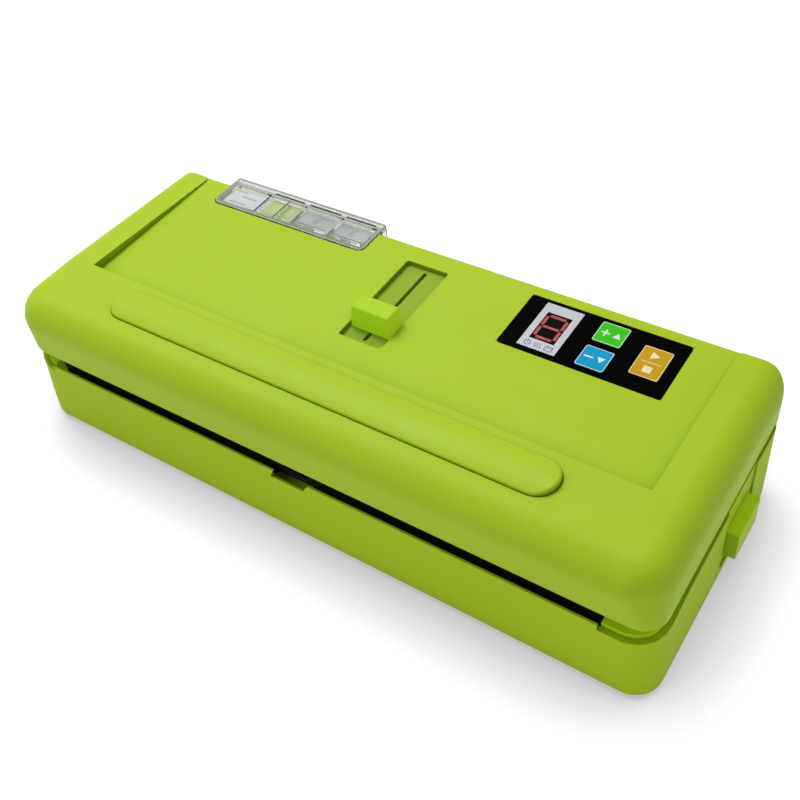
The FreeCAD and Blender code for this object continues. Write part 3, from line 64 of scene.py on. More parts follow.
# ------------------------------------------------------------------ node helper
class Nodes:
    """Builds one material round a Principled shader. Inputs take a socket or a plain value."""

    def __init__(self, name):
        self.mat = bpy.data.materials.new(name)
        self.mat.use_nodes = True
        self.tree = self.mat.node_tree
        self.tree.nodes.clear()
        output = self.tree.nodes.new("ShaderNodeOutputMaterial")
        self.shader = self.tree.nodes.new("ShaderNodeBsdfPrincipled")
        self.tree.links.new(self.shader.outputs[0], output.inputs[0])
        self.place = self.tree.nodes.new("ShaderNodeTexCoord").outputs["Object"]
        self.column = -300

    def new(self, kind, **settings):
        node = self.tree.nodes.new(kind)
        self.column -= 30
        node.location = (self.column, 0)
        for key, value in settings.items():
            setattr(node, key, value)
        return node

    def feed(self, socket, value):
        if isinstance(value, bpy.types.NodeSocket):
            self.tree.links.new(value, socket)
        else:
            socket.default_value = value

    def set(self, **inputs):
        """Set shader inputs; an underscore stands for a space."""
        for key, value in inputs.items():
            self.feed(self.shader.inputs[key.replace("_", " ")], value)

    def noise(self, scale, detail=2.0, rough=0.5, stretch=None):
        node = self.new("ShaderNodeTexNoise")
        node.inputs["Scale"].default_value = scale
        node.inputs["Detail"].default_value = detail
        node.inputs["Roughness"].default_value = rough
        place = self.place
        if stretch:
            mapping = self.new("ShaderNodeMapping")
            mapping.inputs["Scale"].default_value = stretch
            self.feed(mapping.inputs[0], place)
            place = mapping.outputs[0]
        self.feed(node.inputs["Vector"], place)
        return node.outputs["Fac"]

    def ramp(self, factor, *stops):
        """Two stops of (position, rgb)."""
        node = self.new("ShaderNodeValToRGB")
        for element, (position, rgb) in zip(node.color_ramp.elements, stops):
            element.position = position
            element.color = (*rgb, 1.0)
        self.feed(node.inputs[0], factor)
        return node.outputs[0]

    def remap(self, value, out, span=(0.0, 1.0)):
        """Map the range span onto the range out, clamped."""
        node = self.new("ShaderNodeMapRange")
        for i, limit in enumerate((*span, *out), 1):
            node.inputs[i].default_value = limit
        self.feed(node.inputs[0], value)
        return node.outputs[0]

    def maths(self, operation, *values):
        node = self.new("ShaderNodeMath", operation=operation)
        for socket, value in zip(node.inputs, values):
            self.feed(socket, value)
        return node.outputs[0]

    def blend(self, first, second, share):
        """Weighted sum: share of the first and the rest of the second."""
        first = self.maths("MULTIPLY", first, share)
        return self.maths("ADD", first, self.maths("MULTIPLY", second, 1 - share))

    def mix(self, factor, first, second):
        node = self.new("ShaderNodeMix", data_type="RGBA")
        for i, value in ((0, factor), (6, first), (7, second)):
            self.feed(node.inputs[i], value)
        return node.outputs[2]

    def axes(self, vector):
        node = self.new("ShaderNodeSeparateXYZ")
        self.feed(node.inputs[0], vector)
        return tuple(node.outputs)

    def occlusion(self, samples, distance):
        node = self.new("ShaderNodeAmbientOcclusion", samples=samples)
        node.inputs["Distance"].default_value = distance
        return node.outputs["AO"]

    def rounded_edges(self, radius):
        node = self.new("ShaderNodeBevel", samples=4)
        node.inputs["Radius"].default_value = radius
        return node.outputs[0]

    def bump(self, height, strength, distance, normal=None):
        node = self.new("ShaderNodeBump")
        node.inputs["Strength"].default_value = strength
        node.inputs["Distance"].default_value = distance
        self.feed(node.inputs["Height"], height)
        if normal is not None:
            self.feed(node.inputs["Normal"], normal)
        return node.outputs[0]


def scaled(rgb, factor):
    return tuple(min(1.0, value * factor) for value in rgb)


# ------------------------------------------------------------------ material recipes
def painted_track_shade(m, colour, rgb):
    """Painted shade: the slider's sunk track is coloured darker than the lid floor round it."""
    x, y, z = m.axes(m.place)
    inside = m.remap(m.maths("ABSOLUTE", x), out=(1.0, 0.0), span=(0.0130, 0.0132))
    from_middle = m.maths("ABSOLUTE", m.maths("SUBTRACT", y, 0.0241))
    for value, out, span in ((from_middle, (1.0, 0.0), (0.0318, 0.0320)),
                             (z, (1.0, 0.0), (0.0764, 0.0774)),
                             (z, (0.0, 1.0), (0.0735, 0.0740))):
        inside = m.maths("MULTIPLY", inside, m.remap(value, out=out, span=span))
    cover = 0.56  # how much of the darker colour shows
    dark = (rgb[0] * 0.50, rgb[1] * 0.54, rgb[2] * 1.1, 1.0)
    return m.mix(m.maths("MULTIPLY", inside, cover), colour, dark)


def notch_shade(m):
    """How far the deck behind the nozzle notch lies in shade; deepest at the left end."""
    x, y, _ = m.axes(m.place)
    fade = m.remap(x, out=(0.92, 0.34), span=(-0.005, 0.011))
    beside = m.remap(m.maths("ABSOLUTE", x), out=(1.0, 0.0), span=(0.0150, 0.0156))
    shaded = m.maths("MULTIPLY", fade, beside)
    return m.maths("MULTIPLY", shaded, m.remap(y, out=(1.0, 0.0), span=(-0.0610, -0.0600)))


def painted_top_light(m, painted_light):
    """Painted light on the button: faces turned up glow most, faces turned to the ends less, the
    front least.
    """
    x, _, z = m.axes(m.new("ShaderNodeNewGeometry").outputs["Normal"])
    from_above = m.remap(z, out=(0.0, 2.1 * painted_light), span=(0.2, 1.0))
    from_ends = m.remap(m.maths("ABSOLUTE", x), out=(0.0, 0.9 * painted_light), span=(0.2, 1.0))
    base_glow = 0.4 * painted_light
    return m.maths("ADD", m.maths("ADD", from_above, from_ends), base_glow)


def moulded(name, rgb, rough, grain, grain_mm, variation, spec=0.5, sss=0.0, edge=0.0,
            shade=None, painted_light=0.0, shade_track=False, notch=False, lit_top=False):
    """Injection-moulded plastic: fine grain, faint flow marks, slightly uneven gloss.

    shade is (reach, factor) for painted shade, a darker colour where surfaces face each other
    closely;
    the emission strength paints light on a part that is no lamp; edge is the radius that softens the
    corners.
    """
    m = Nodes(name)
    marks = m.blend(m.noise(scale=9.0),
                    m.noise(scale=30.0, detail=3.0, rough=0.6, stretch=(0.35, 1.0, 1.0)),
                    share=0.6)
    colour = m.ramp(marks, (0.36, scaled(rgb, 1 - variation)), (0.64, scaled(rgb, 1 + variation)))
    # painted shade: the colour is darkened where the occlusion node finds surfaces close by
    if shade:
        reach, factor = shade
        openness = m.remap(m.occlusion(samples=8, distance=reach), out=(0.0, 1.0),
                           span=(0.30, 0.95))
        crease_shade_rgb = (rgb[0] * factor, rgb[1] * factor * 1.08, rgb[2] * factor, 1.0)
        colour = m.mix(openness, crease_shade_rgb, colour)
    # painted shade in the slider's sunk track
    if shade_track:
        colour = painted_track_shade(m, colour, rgb)
    if notch:
        dim = notch_shade(m)
        colour = m.mix(dim, colour, (0.020, 0.024, 0.012, 1.0))
    gloss_noise = m.noise(scale=70.0, detail=4.0)
    m.set(Base_Color=colour,
          Roughness=m.remap(gloss_noise, out=(rough - 0.05, rough + 0.06), span=(0.3, 0.7)))
    grains = m.blend(m.noise(scale=1000.0 / grain_mm, rough=0.6),
                     m.noise(scale=260.0 / grain_mm, detail=1.0),
                     share=0.7)
    soft = m.rounded_edges(edge) if edge else None
    m.set(Normal=m.bump(grains, strength=grain, distance=0.00006, normal=soft),
          Specular_IOR_Level=spec)
    # painted light: emission makes the part glow, though it is no lamp
    if painted_light:
        m.set(Emission_Color=(rgb[0] * 0.92, rgb[1], rgb[2] * 0.5, 1.0), Emission_Strength=painted_light)
        if notch:
            m.set(Emission_Strength=m.remap(dim, out=(painted_light, 0.0)))
        if lit_top:
            m.set(Emission_Strength=painted_top_light(m, painted_light))
    if sss:
        m.set(Subsurface_Weight=sss, Subsurface_Scale=0.002)
    return m.mat


def gloss(name, rgb, rough, spec):
    """Smooth glossy face with a barely uneven tone."""
    m = Nodes(name)
    m.set(
        Specular_IOR_Level=spec,
        Base_Color=m.ramp(m.noise(scale=25.0), (0.35, scaled(rgb, 0.97)), (0.65, scaled(rgb, 1.03))),
        Roughness=m.remap(m.noise(scale=110.0, detail=3.0), out=(rough - 0.03, rough + 0.05),
                          span=(0.3, 0.7)),
        Normal=m.bump(m.noise(scale=160.0), strength=0.03, distance=0.0001),
        Coat_Weight=0.0, Coat_Roughness=0.05)
    return m.mat


def metal(name, rgb, rough, brushed=False):
    """Bare metal; brushed draws the grain out along X."""
    m = Nodes(name)
    grain = m.noise(scale=45.0, detail=5.0, rough=0.65,
                    stretch=(1.0, 40.0, 40.0) if brushed else None)
    tone = m.noise(scale=14.0, detail=3.0)
    m.set(Metallic=1.0,
          Base_Color=m.ramp(tone, (0.35, scaled(rgb, 0.86)), (0.65, scaled(rgb, 1.08))),
          Roughness=m.remap(grain, out=(rough - 0.08, rough + 0.12), span=(0.3, 0.7)),
          Normal=m.bump(grain, strength=0.12, distance=0.00005))
    return m.mat


def clear(name, tint, haze, rough, gain):
    """Thin clear plastic: see-through face on, more solid at grazing angles and on edges."""
    m = Nodes(name)
    refraction = 1.49
    ripple = m.noise(scale=60.0, detail=3.0, rough=0.6)
    m.set(Base_Color=(*tint, 1.0), IOR=refraction, Specular_IOR_Level=0.6,
          Roughness=m.remap(ripple, out=(rough, rough + 0.06), span=(0.35, 0.65)))
    normal = m.bump(ripple, strength=0.10, distance=0.0005, normal=m.rounded_edges(0.0003))
    fresnel = m.new("ShaderNodeFresnel")
    fresnel.inputs["IOR"].default_value = refraction
    m.feed(fresnel.inputs["Normal"], normal)
    grazing = m.maths("MULTIPLY", fresnel.outputs[0], gain)
    cloud = m.remap(m.noise(scale=22.0, detail=3.0, rough=0.6), out=(haze * 0.7, haze * 1.3),
                    span=(0.35, 0.65))
    m.set(Normal=normal, Alpha=m.maths("MINIMUM", m.maths("ADD", grazing, cloud), 1.0))
    return m.mat


def foam():
    """Black closed-cell foam."""
    m = Nodes("closed_cell_foam")
    voronoi = m.new("ShaderNodeTexVoronoi")
    voronoi.inputs["Scale"].default_value = 1300.0
    m.feed(voronoi.inputs["Vector"], m.place)
    cells = voronoi.outputs["Distance"]
    m.set(Base_Color=m.ramp(cells, (0.0, (0.008, 0.008, 0.008)), (0.6, (0.022, 0.022, 0.021))),
          Roughness=0.85, Specular_IOR_Level=0.25,
          Normal=m.bump(m.maths("ADD", cells, m.noise(scale=500.0)),
                        strength=0.5, distance=0.00012))
    return m.mat


def led_red():
    """Red digit segments, faintly lit."""
    m = Nodes("led_red")
    m.set(Base_Color=m.ramp(m.noise(scale=350.0), (0.3, (0.36, 0.030, 0.030)),
                            (0.7, (0.46, 0.045, 0.045))),
          Roughness=0.35, Emission_Color=(0.8, 0.05, 0.035, 1.0), Emission_Strength=0.06)
    return m.mat


def ptfe():
    """Brown PTFE-coated glass cloth with its fine plain weave."""
    m = Nodes("ptfe_cloth")
    threads = []
    for axis in "XY":
        wave = m.new("ShaderNodeTexWave", wave_type="BANDS", bands_direction=axis)
        wave.inputs["Scale"].default_value = 420.0
        wave.inputs["Distortion"].default_value = 0.4
        m.feed(wave.inputs["Vector"], m.place)
        threads.append(wave.outputs["Fac"])
    weave = m.maths("MULTIPLY", *threads)
    m.set(Base_Color=m.ramp(m.blend(weave, m.noise(scale=18.0), share=0.5),
                            (0.2, (0.30, 0.17, 0.075)), (0.7, (0.46, 0.29, 0.15))),
          Normal=m.bump(weave, strength=0.3, distance=0.00008),
          Roughness=0.38, Sheen_Weight=0.2)
    return m.mat


def pcb():
    """Green circuit board with angular tracks."""
    m = Nodes("circuit_board")
    voronoi = m.new("ShaderNodeTexVoronoi", feature="DISTANCE_TO_EDGE", distance="MANHATTAN")
    voronoi.inputs["Scale"].default_value = 240.0
    m.feed(voronoi.inputs["Vector"], m.place)
    tracks = m.remap(voronoi.outputs["Distance"], out=(0.0, 1.0), span=(0.02, 0.07))
    m.set(Base_Color=m.ramp(tracks, (0.2, (0.05, 0.26, 0.08)), (0.7, (0.012, 0.11, 0.035))),
          Roughness=0.3, Coat_Weight=0.4,
          Normal=m.bump(tracks, strength=0.2, distance=0.00005))
    return m.mat


def hose():
    """Clear silicone tube."""
    m = Nodes("clear_silicone_tube")
    m.set(Base_Color=(0.82, 0.83, 0.80, 1), IOR=1.41, Transmission_Weight=0.55,
          Normal=m.bump(m.noise(scale=300.0), strength=0.1, distance=0.0001),
          Roughness=m.remap(m.noise(scale=90.0), out=(0.28, 0.42), span=(0.3, 0.7)))
    return m.mat


# ------------------------------------------------------------------ materials
GREEN = (0.428, 0.622, 0.017)
GREEN_LINER = (0.43, 0.62, 0.014)
# the greens carry painted light and shade: the shade option and the track mask paint shade, the
# emission paints light, the tray colour is lightened and the knob and button colours are darkened
# under their emission
# key: name, colour, roughness, grain depth, grain size in mm, tone variation, options
MOULDED = {
    "green": ("green_abs", GREEN, 0.60, 0.10, 0.5, 0.02,
              dict(spec=0.05, edge=0.00045, shade=(0.012, 0.74))),
    "green_lid": ("green_lid", GREEN, 0.52, 0.10, 0.5, 0.02,
                  dict(spec=0.16, edge=0.00045, shade=(0.012, 0.55), shade_track=True)),
    "green_pad": ("green_pad", GREEN, 0.42, 0.06, 0.6, 0.02,
                  dict(spec=0.16, edge=0.0003, shade=(0.004, 0.5))),
    "green_inner": ("green_inner", GREEN_LINER, 0.5, 0.14, 0.6, 0.03, dict(spec=0.08, painted_light=0.11)),
    "green_tray": ("green_tray", (0.47, 0.68, 0.016), 0.5, 0.14, 0.6, 0.03,
                   dict(spec=0.08, painted_light=0.22)),
    "green_deck": ("green_deck", GREEN_LINER, 0.5, 0.14, 0.6, 0.03,
                   dict(spec=0.08, painted_light=0.13, notch=True)),
    "green_knob": ("green_knob", (0.28, 0.42, 0.014), 0.44, 0.07, 0.5, 0.02,
                   dict(spec=0.12, edge=0.0003, painted_light=0.66)),
    "green_button": ("green_button", (0.31, 0.47, 0.012), 0.48, 0.07, 0.5, 0.02,
                     dict(spec=0.08, edge=0.0003, painted_light=0.17, lit_top=True)),
    "black": ("black_moulded", (0.016, 0.016, 0.017), 0.42, 0.2, 0.6, 0.2, {}),
    "phenolic": ("phenolic_black", (0.022, 0.020, 0.019), 0.5, 0.25, 0.8, 0.25, {}),
    "acetal": ("acetal_white", (0.72, 0.72, 0.69), 0.35, 0.05, 0.8, 0.03, dict(sss=0.1)),
    "rubber": ("rubber_black", (0.022, 0.022, 0.023), 0.68, 0.35, 0.7, 0.2, {}),
    "silicone": ("silicone_red", (0.42, 0.055, 0.030), 0.45, 0.1, 0.8, 0.06, dict(sss=0.15)),
    "iron": ("laminated_core", (0.05, 0.052, 0.06), 0.45, 0.3, 0.5, 0.2, {}),
    "ic": ("switch_black", (0.02, 0.02, 0.02), 0.38, 0.1, 0.5, 0.1, {}),
    "print_light": ("print_light", (0.80, 0.86, 0.80), 0.45, 0.02, 0.5, 0.02, {}),
    "print_cream": ("print_cream", (0.90, 0.80, 0.52), 0.45, 0.02, 0.5, 0.02, {}),
    "print_blue": ("print_blue", (0.045, 0.055, 0.52), 0.45, 0.02, 0.5, 0.02, {}),
    "float_green": ("float_green", (0.36, 0.56, 0.003), 0.4, 0.08, 0.5, 0.02,
                    dict(spec=0.05, painted_light=0.05)),
}
# key: name, colour, roughness, specular level
GLOSS = {
    "led_face": ("display_face", (0.0030, 0.0012, 0.0012), 0.30, 0.04),
    "overlay": ("overlay_black", (0.0010, 0.0010, 0.0011), 0.50, 0.012),
    "bezel": ("bezel_grey", (0.60, 0.62, 0.64), 0.40, 0.2),
    "key_green": ("key_green", (0.050, 0.60, 0.008), 0.36, 0.08),
    "key_blue": ("key_blue", (0.004, 0.35, 0.63), 0.36, 0.08),
    "key_amber": ("key_amber", (0.62, 0.36, 0.008), 0.36, 0.08),
}
# key: name, tint, haze (opacity face on), roughness, gain of the grazing reflection
CLEAR = {
    "clear": ("clear_acrylic", (0.75, 0.78, 0.74), 0.004, 0.06, 0.35),
    "clear_rim": ("clear_acrylic_rim", (0.72, 0.80, 0.60), 0.12, 0.05, 0.8),
    "clear_rib": ("clear_acrylic_rib", (0.84, 0.90, 0.74), 0.16, 0.08, 0.8),
    # painted highlight lines on the clear plastic
    "clear_highlight": ("clear_acrylic_painted_highlight", (0.93, 0.95, 0.93), 0.80, 0.10, 0.8),
    "clear_dark": ("clear_acrylic_shade", (0.030, 0.034, 0.034), 0.80, 0.10, 0.4),
    "clear_grey": ("clear_acrylic_grey", (0.20, 0.24, 0.17), 0.36, 0.10, 0.4),
    # painted shade panels in the clear plastic
    "clear_shade_panel": ("clear_acrylic_shade_panel", (0.22, 0.23, 0.24), 0.34, 0.12, 0.5),
    "frost": ("frosted_acrylic", (0.80, 0.81, 0.82), 0.50, 0.35, 0.8),
    "baffle": ("frosted_baffle", (0.36, 0.365, 0.39), 0.86, 0.38, 0.4),
}
MATS = {key: moulded(*row[:-1], **row[-1]) for key, row in MOULDED.items()}
MATS.update((key, gloss(*row)) for key, row in GLOSS.items())
MATS.update((key, clear(*row)) for key, row in CLEAR.items())
MATS.update(
    steel=metal("plated_steel", (0.60, 0.60, 0.62), rough=0.28),
    can=metal("drawn_steel_can", (0.55, 0.55, 0.57), rough=0.32, brushed=True),
    nichrome=metal("heater_ribbon", (0.46, 0.42, 0.38), rough=0.36, brushed=True),
    foam=foam(), led=led_red(), ptfe=ptfe(), pcb=pcb(), hose=hose())

# material key: the CAD pieces that wear it
FINISH = {
    "green": "base_shell",
    "green_deck": "deck_plate",
    "phenolic": "heater_bar",
    "nichrome": "heating_element",
    "ptfe": "ptfe_tape",
    "foam": "lower_gasket upper_gasket",
    "can": "pump_motor",
    "black": "pump_head power_inlet nozzle",
    "hose": "pump_hose nozzle_hose lid_hose",
    "rubber": "air_port_seal rubber_feet tank_gaskets",
    "iron": "transformer",
    "pcb": "power_board control_board",
    "steel": "case_screws hinge_pins button_spring_left button_spring_right lid_screws",
    "green_button": "release_button_right release_button_left",
    "green_lid": "lid_shell",
    "green_pad": "press_bar",
    "green_inner": "lid_liner lid_hooks",
    "silicone": "pressure_strip",
    "overlay": "control_overlay",
    "bezel": "display_bezel",
    "led_face": "digit_display",
    "led": "digit_segments",
    "ic": "tact_switches",
    "acetal": "nozzle_rails tank_ports lid_air_port nozzle_carriage",
    "green_tray": "tank_tray",
    "green_knob": "slider_knob",
    "clear": "liquid_tank tank_cover",
    "baffle": "tank_baffles",
    "float_green": "tank_float",
    "key_green": "key_increase",
    "key_blue": "key_decrease",
    "key_amber": "key_start_stop",
}


def finish_node(node, mat):
    if node.material_slots:
        for slot in node.material_slots:
            slot.material = mat
    else:
        node.data.materials.append(mat)


for key, names in FINISH.items():
    for name in names.split():
        if name in NODES:
            finish_node(NODES[name], MATS[key])


# ------------------------------------------------------------------ mesh helpers
def add_mesh(name, mesh, mat, body=None, smooth=False, bevel=None):
    data = bpy.data.meshes.new(name)
    bmesh.ops.recalc_face_normals(mesh, faces=mesh.faces)
    mesh.to_mesh(data)
    mesh.free()
    obj = bpy.data.objects.new(name, data)
    SCENE.collection.objects.link(obj)
    data.materials.append(mat)
    if smooth:
        for face in data.polygons:
            face.use_smooth = True
    if bevel:
        modifier = obj.modifiers.new("edge", "BEVEL")
        modifier.width = bevel
        modifier.segments = 3
        modifier.limit_method = "ANGLE"
        modifier.angle_limit = math.radians(40)
        modifier.harden_normals = False
    if body:
        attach(obj, body)
    return obj


def prism(mesh, outline, z0, z1):
    low, high = [[mesh.verts.new((x, y, z)) for x, y in outline] for z in (z0, z1)]
    mesh.faces.new(list(reversed(low)))
    mesh.faces.new(high)
    for i in range(len(outline)):
        j = (i + 1) % len(outline)
        mesh.faces.new((low[i], low[j], high[j], high[i]))


def ring(mesh, outer, inner, z0, z1):
    loops = [[mesh.verts.new((x, y, z)) for x, y in outline]
             for outline, z in ((outer, z0), (outer, z1), (inner, z1), (inner, z0))]
    for i in range(len(outer)):
        j = (i + 1) % len(outer)
        for one, two in zip(loops, loops[1:] + loops[:1]):
            mesh.faces.new((one[i], one[j], two[j], two[i]))


def skin(mesh, loops):
    """A tube through a row of vertex loops, closed at both ends."""
    count = len(loops[0])
    for one, two in zip(loops, loops[1:]):
        for j in range(count):
            k = (j + 1) % count
            mesh.faces.new((one[j], one[k], two[k], two[j]))
    mesh.faces.new(loops[0])
    mesh.faces.new(list(reversed(loops[-1])))


def rounded(x0, x1, y0, y1, radius, back_radius=None, steps=6):
    """Rounded rectangle; its corners at y1 may have a radius of their own."""
    back = radius if back_radius is None else back_radius
    points = []
    for x, y, start, r in ((x1 - back, y1 - back, 0, back), (x0 + back, y1 - back, 90, back),
                           (x0 + radius, y0 + radius, 180, radius),
                           (x1 - radius, y0 + radius, 270, radius)):
        for i in range(steps + 1):
            angle = math.radians(start + 90 * i / steps)
            points.append((x + r * math.cos(angle), y + r * math.sin(angle)))
    return points


def circle(x, y, radius, steps=32):
    angles = [2 * math.pi * i / steps for i in range(steps)]
    return [(x + radius * math.cos(a), y + radius * math.sin(a)) for a in angles]


def bar(x, y, length, width, angle=0.0):
    """Round-cornered bar centred on x, y and turned by angle degrees."""
    cos, sin = math.cos(math.radians(angle)), math.sin(math.radians(angle))
    flat = rounded(-length / 2, length / 2, -width / 2, width / 2, width * 0.3, steps=3)
    return [(x + u * cos - v * sin, y + u * sin + v * cos) for u, v in flat]


# ------------------------------------------------------------------ prints on keys and bezel
PRINT = 0.00004  # how far a print stands above its face, and reaches below it
KEY_FLANGE = 0.9 * MM  # hidden flange round each key cap


def stamp(mesh, outline, z, height=PRINT):
    prism(mesh, outline, z - PRINT, z + height)


def sign_symbol(mesh, x, y, z, direction):
    """Plus and upward triangle for direction 1, minus and downward triangle for -1."""
    sign_x, length, width = x - 3.0 * MM, 4.6 * MM, 0.9 * MM
    stamp(mesh, bar(sign_x, y, length, width), z)
    if direction > 0:
        # the upright stands a little higher, so the two faces don't coincide
        stamp(mesh, bar(sign_x, y, length, width, 90), z, 1.2 * PRINT)
    base, tip = y - direction * 1.6 * MM, y + direction * 1.9 * MM
    stamp(mesh, [(x + 1.0 * MM, base), (x + 5.0 * MM, base), (x + 3.0 * MM, tip)], z)


def plus_symbol(mesh, x, y, z):
    sign_symbol(mesh, x, y, z, 1)


def minus_symbol(mesh, x, y, z):
    sign_symbol(mesh, x, y, z, -1)


def start_stop_symbol(mesh, x, y, z):
    """A triangle and a square with a line between them."""
    stamp(mesh, bar(x, y, 9.6 * MM, 0.42 * MM), z)
    left = x - 1.9 * MM
    stamp(mesh, [(left, y + 2.3 * MM), (x + 2.3 * MM, y + 4.7 * MM), (left, y + 7.1 * MM)], z)
    stamp(mesh, rounded(x - 2.1 * MM, x + 2.1 * MM, y - 6.8 * MM, y - 2.6 * MM, 0.4 * MM,
                        steps=3), z)


def key_print(node, mat, symbol):
    body = node.removeprefix("key_")
    lo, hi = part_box(node)
    x0, x1 = lo.x + KEY_FLANGE, hi.x - KEY_FLANGE
    y0, y1 = lo.y + KEY_FLANGE, hi.y - KEY_FLANGE
    outer, inner = [
        rounded(x0 + inset * MM, x1 - inset * MM, y0 + inset * MM, y1 - inset * MM, radius * MM)
        for inset, radius in ((0.1, 0.95), (0.42, 0.65))]
    mesh = bmesh.new()
    ring(mesh, outer, inner, hi.z - PRINT, hi.z + PRINT)
    add_mesh(node + "_outline", mesh, mat, body)
    mesh = bmesh.new()
    symbol(mesh, (lo.x + hi.x) / 2, (lo.y + hi.y) / 2, hi.z)
    add_mesh(node + "_symbol", mesh, mat, body)


def clock_symbol(mesh, x, y, z):
    ring(mesh, circle(x, y, 1.75 * MM), circle(x, y, 1.35 * MM), z - PRINT, z + PRINT)
    stamp(mesh, bar(x, y + 0.5 * MM, 1.1 * MM, 0.32 * MM, 90), z)
    stamp(mesh, bar(x + 0.4 * MM, y, 0.9 * MM, 0.32 * MM), z)


def heat_wave(mesh, x, y, z):
    sway, height, half_width, last = 0.32 * MM, 3.2 * MM, 0.18 * MM, 12
    centre = [(x + sway * math.sin(i / last * 2 * math.pi), y + (i / last - 0.5) * height)
              for i in range(last + 1)]
    left = [(px - half_width, py) for px, py in centre]
    right = [(px + half_width, py) for px, py in reversed(centre)]
    stamp(mesh, left + right, z)


def bag_symbol(mesh, x, y, z):
    outer, inner = [
        rounded(x - wide * MM, x + wide * MM, y - tall * MM, y + tall * MM, radius * MM)
        for wide, tall, radius in ((2.0, 1.7, 0.5), (1.62, 1.32, 0.3))]
    ring(mesh, outer, inner, z - PRINT, z + PRINT)
    stamp(mesh, bar(x, y + 0.6 * MM, 3.2 * MM, 0.32 * MM), z)


def bezel_symbols():
    """Timer, heat and bag symbols in a row near the front edge of the bezel."""
    lo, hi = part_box("display_bezel")
    y, z = lo.y + 3.0 * MM, hi.z
    mesh = bmesh.new()
    clock_symbol(mesh, lo.x + 4.3 * MM, y, z)
    for k in range(3):
        heat_wave(mesh, lo.x + (8.3 + 1.35 * k) * MM, y, z)
    bag_symbol(mesh, lo.x + 15.3 * MM, y, z)
    add_mesh("timer_symbols", mesh, MATS["print_blue"], "lid")


key_print("key_increase", MATS["print_light"], plus_symbol)
key_print("key_decrease", MATS["print_light"], minus_symbol)
key_print("key_start_stop", MATS["print_cream"], start_stop_symbol)
bezel_symbols()

# ------------------------------------------------------------------ clear liquid trap (in mm)
lo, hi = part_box("tank_cover")
LEFT, RIGHT, FRONT, BACK, TOP = [value / MM for value in (lo.x, hi.x, lo.y, hi.y, hi.z)]
RIBS = (-90.8, -65.4)  # x of the two cross ribs
PANES = ((-88.6, -67.4), (-63.4, -43.9))  # x0, x1 of the fields right of each rib
RIDGES = 58
RIDGES_INSET = 2.6
RIDGE_PITCH = (RIGHT - LEFT - 2 * RIDGES_INSET) / RIDGES


def cover_loop(inset, back_inset, front_radius, back_radius):
    """Outline inset from the edge of the cover, by its own amount at the back."""
    return rounded((LEFT + inset) * MM, (RIGHT - inset) * MM, (FRONT + inset) * MM,
                   (BACK - back_inset) * MM, front_radius * MM, back_radius * MM, steps=5)


def cover_ring(name, key, outer, inner, z0, z1, bevel):
    mesh = bmesh.new()
    ring(mesh, cover_loop(*outer), cover_loop(*inner), z0 * MM, z1 * MM)
    add_mesh(name, mesh, MATS[key], "tank", bevel=bevel)


def tank_piece(name, key, slabs=(), radius=0.25, rings=(), bevel=None):
    """One mesh of slabs (x0, x1, y0, y1, z0, z1) and thin rings.

    A ring is (inset, back inset, front radius, back radius, width, z0, z1).
    """
    mesh = bmesh.new()
    for *outer, width, z0, z1 in rings:
        inset, back_inset, front_radius, back_radius = outer
        inner = (inset + width, back_inset + width, front_radius - width, back_radius - width)
        ring(mesh, cover_loop(*outer), cover_loop(*inner), z0 * MM, z1 * MM)
    for x0, x1, y0, y1, z0, z1 in slabs:
        outline = rounded(x0 * MM, x1 * MM, y0 * MM, y1 * MM, radius * MM, steps=3)
        prism(mesh, outline, z0 * MM, z1 * MM)
    add_mesh(name, mesh, MATS[key], "tank", bevel=bevel)


# raised rim, and the edge of the dish inside it; loops as in cover_loop
cover_ring("tank_rim", "clear_rim", (0.1, 0.1, 3.4, 0.9), (1.3, 1.3, 2.2, 0.5),
           TOP - 0.2, TOP + 0.45, bevel=0.0002)
cover_ring("tank_dish_edge", "clear_rib", (2.3, 5.6, 1.4, 0.6), (2.75, 6.05, 1.1, 0.4),
           TOP - 0.9, TOP + 0.12, bevel=0.0001)
# cross ribs and the rail along the back
tank_piece("tank_ribs", "clear_rib", [
    *((x - 0.65, x + 0.65, FRONT + 1.6, BACK - 5.0, TOP - 0.3, TOP + 0.3) for x in RIBS),
    (LEFT + 2.0, RIGHT - 2.0, BACK - 5.2, BACK - 4.1, TOP - 0.3, TOP + 0.22),
], bevel=0.00018)
ridges_x = [LEFT + RIDGES_INSET + RIDGE_PITCH * (i + 0.5) for i in range(RIDGES)]
tank_piece("tank_back_ridges", "clear_rib", [
    (x - 0.42, x + 0.42, BACK - 1.9, BACK - 1.0, TOP, TOP + 0.5) for x in ridges_x
], radius=0.12)
# dark lines behind the rail and across the left part of the cover
tank_piece("tank_shade_lines", "clear_dark", [
    *((x0, x1, BACK - 3.4, BACK - 2.6, TOP - 0.6, TOP - 0.1)
      for x0, x1 in ((-113.6, -92.9), *PANES)),
    (-101.75, -101.05, FRONT + 1.7, BACK - 5.4, TOP - 0.5, TOP + 0.1),
    (-115.3, -114.9, FRONT + 2.4, BACK - 6.0, TOP - 0.5, TOP + 0.05),
])
tank_piece("tank_frosted_chamber", "frost", [
    (LEFT + 2.9, -115.6, FRONT + 3.0, BACK - 6.3, TOP - 1.9, TOP - 1.5),
], radius=1.0)
# dark refraction lines along the rim
tank_piece("tank_rim_shade", "clear_grey", rings=[
    (0.02, 0.02, 3.4, 1.0, 0.16, TOP - 0.9, TOP + 0.1),
    (1.35, 3.9, 2.2, 0.5, 0.14, TOP - 0.3, TOP + 0.2),
])
# thin upright panels of painted shade just inside both ends, near the back
tank_piece("tank_end_shade", "clear_shade_panel", [
    (x, x + 0.2, BACK - 7.2, BACK - 2.2, 63.0, 75.0) for x in (LEFT + 1.9, RIGHT - 2.1)
], radius=0.05)
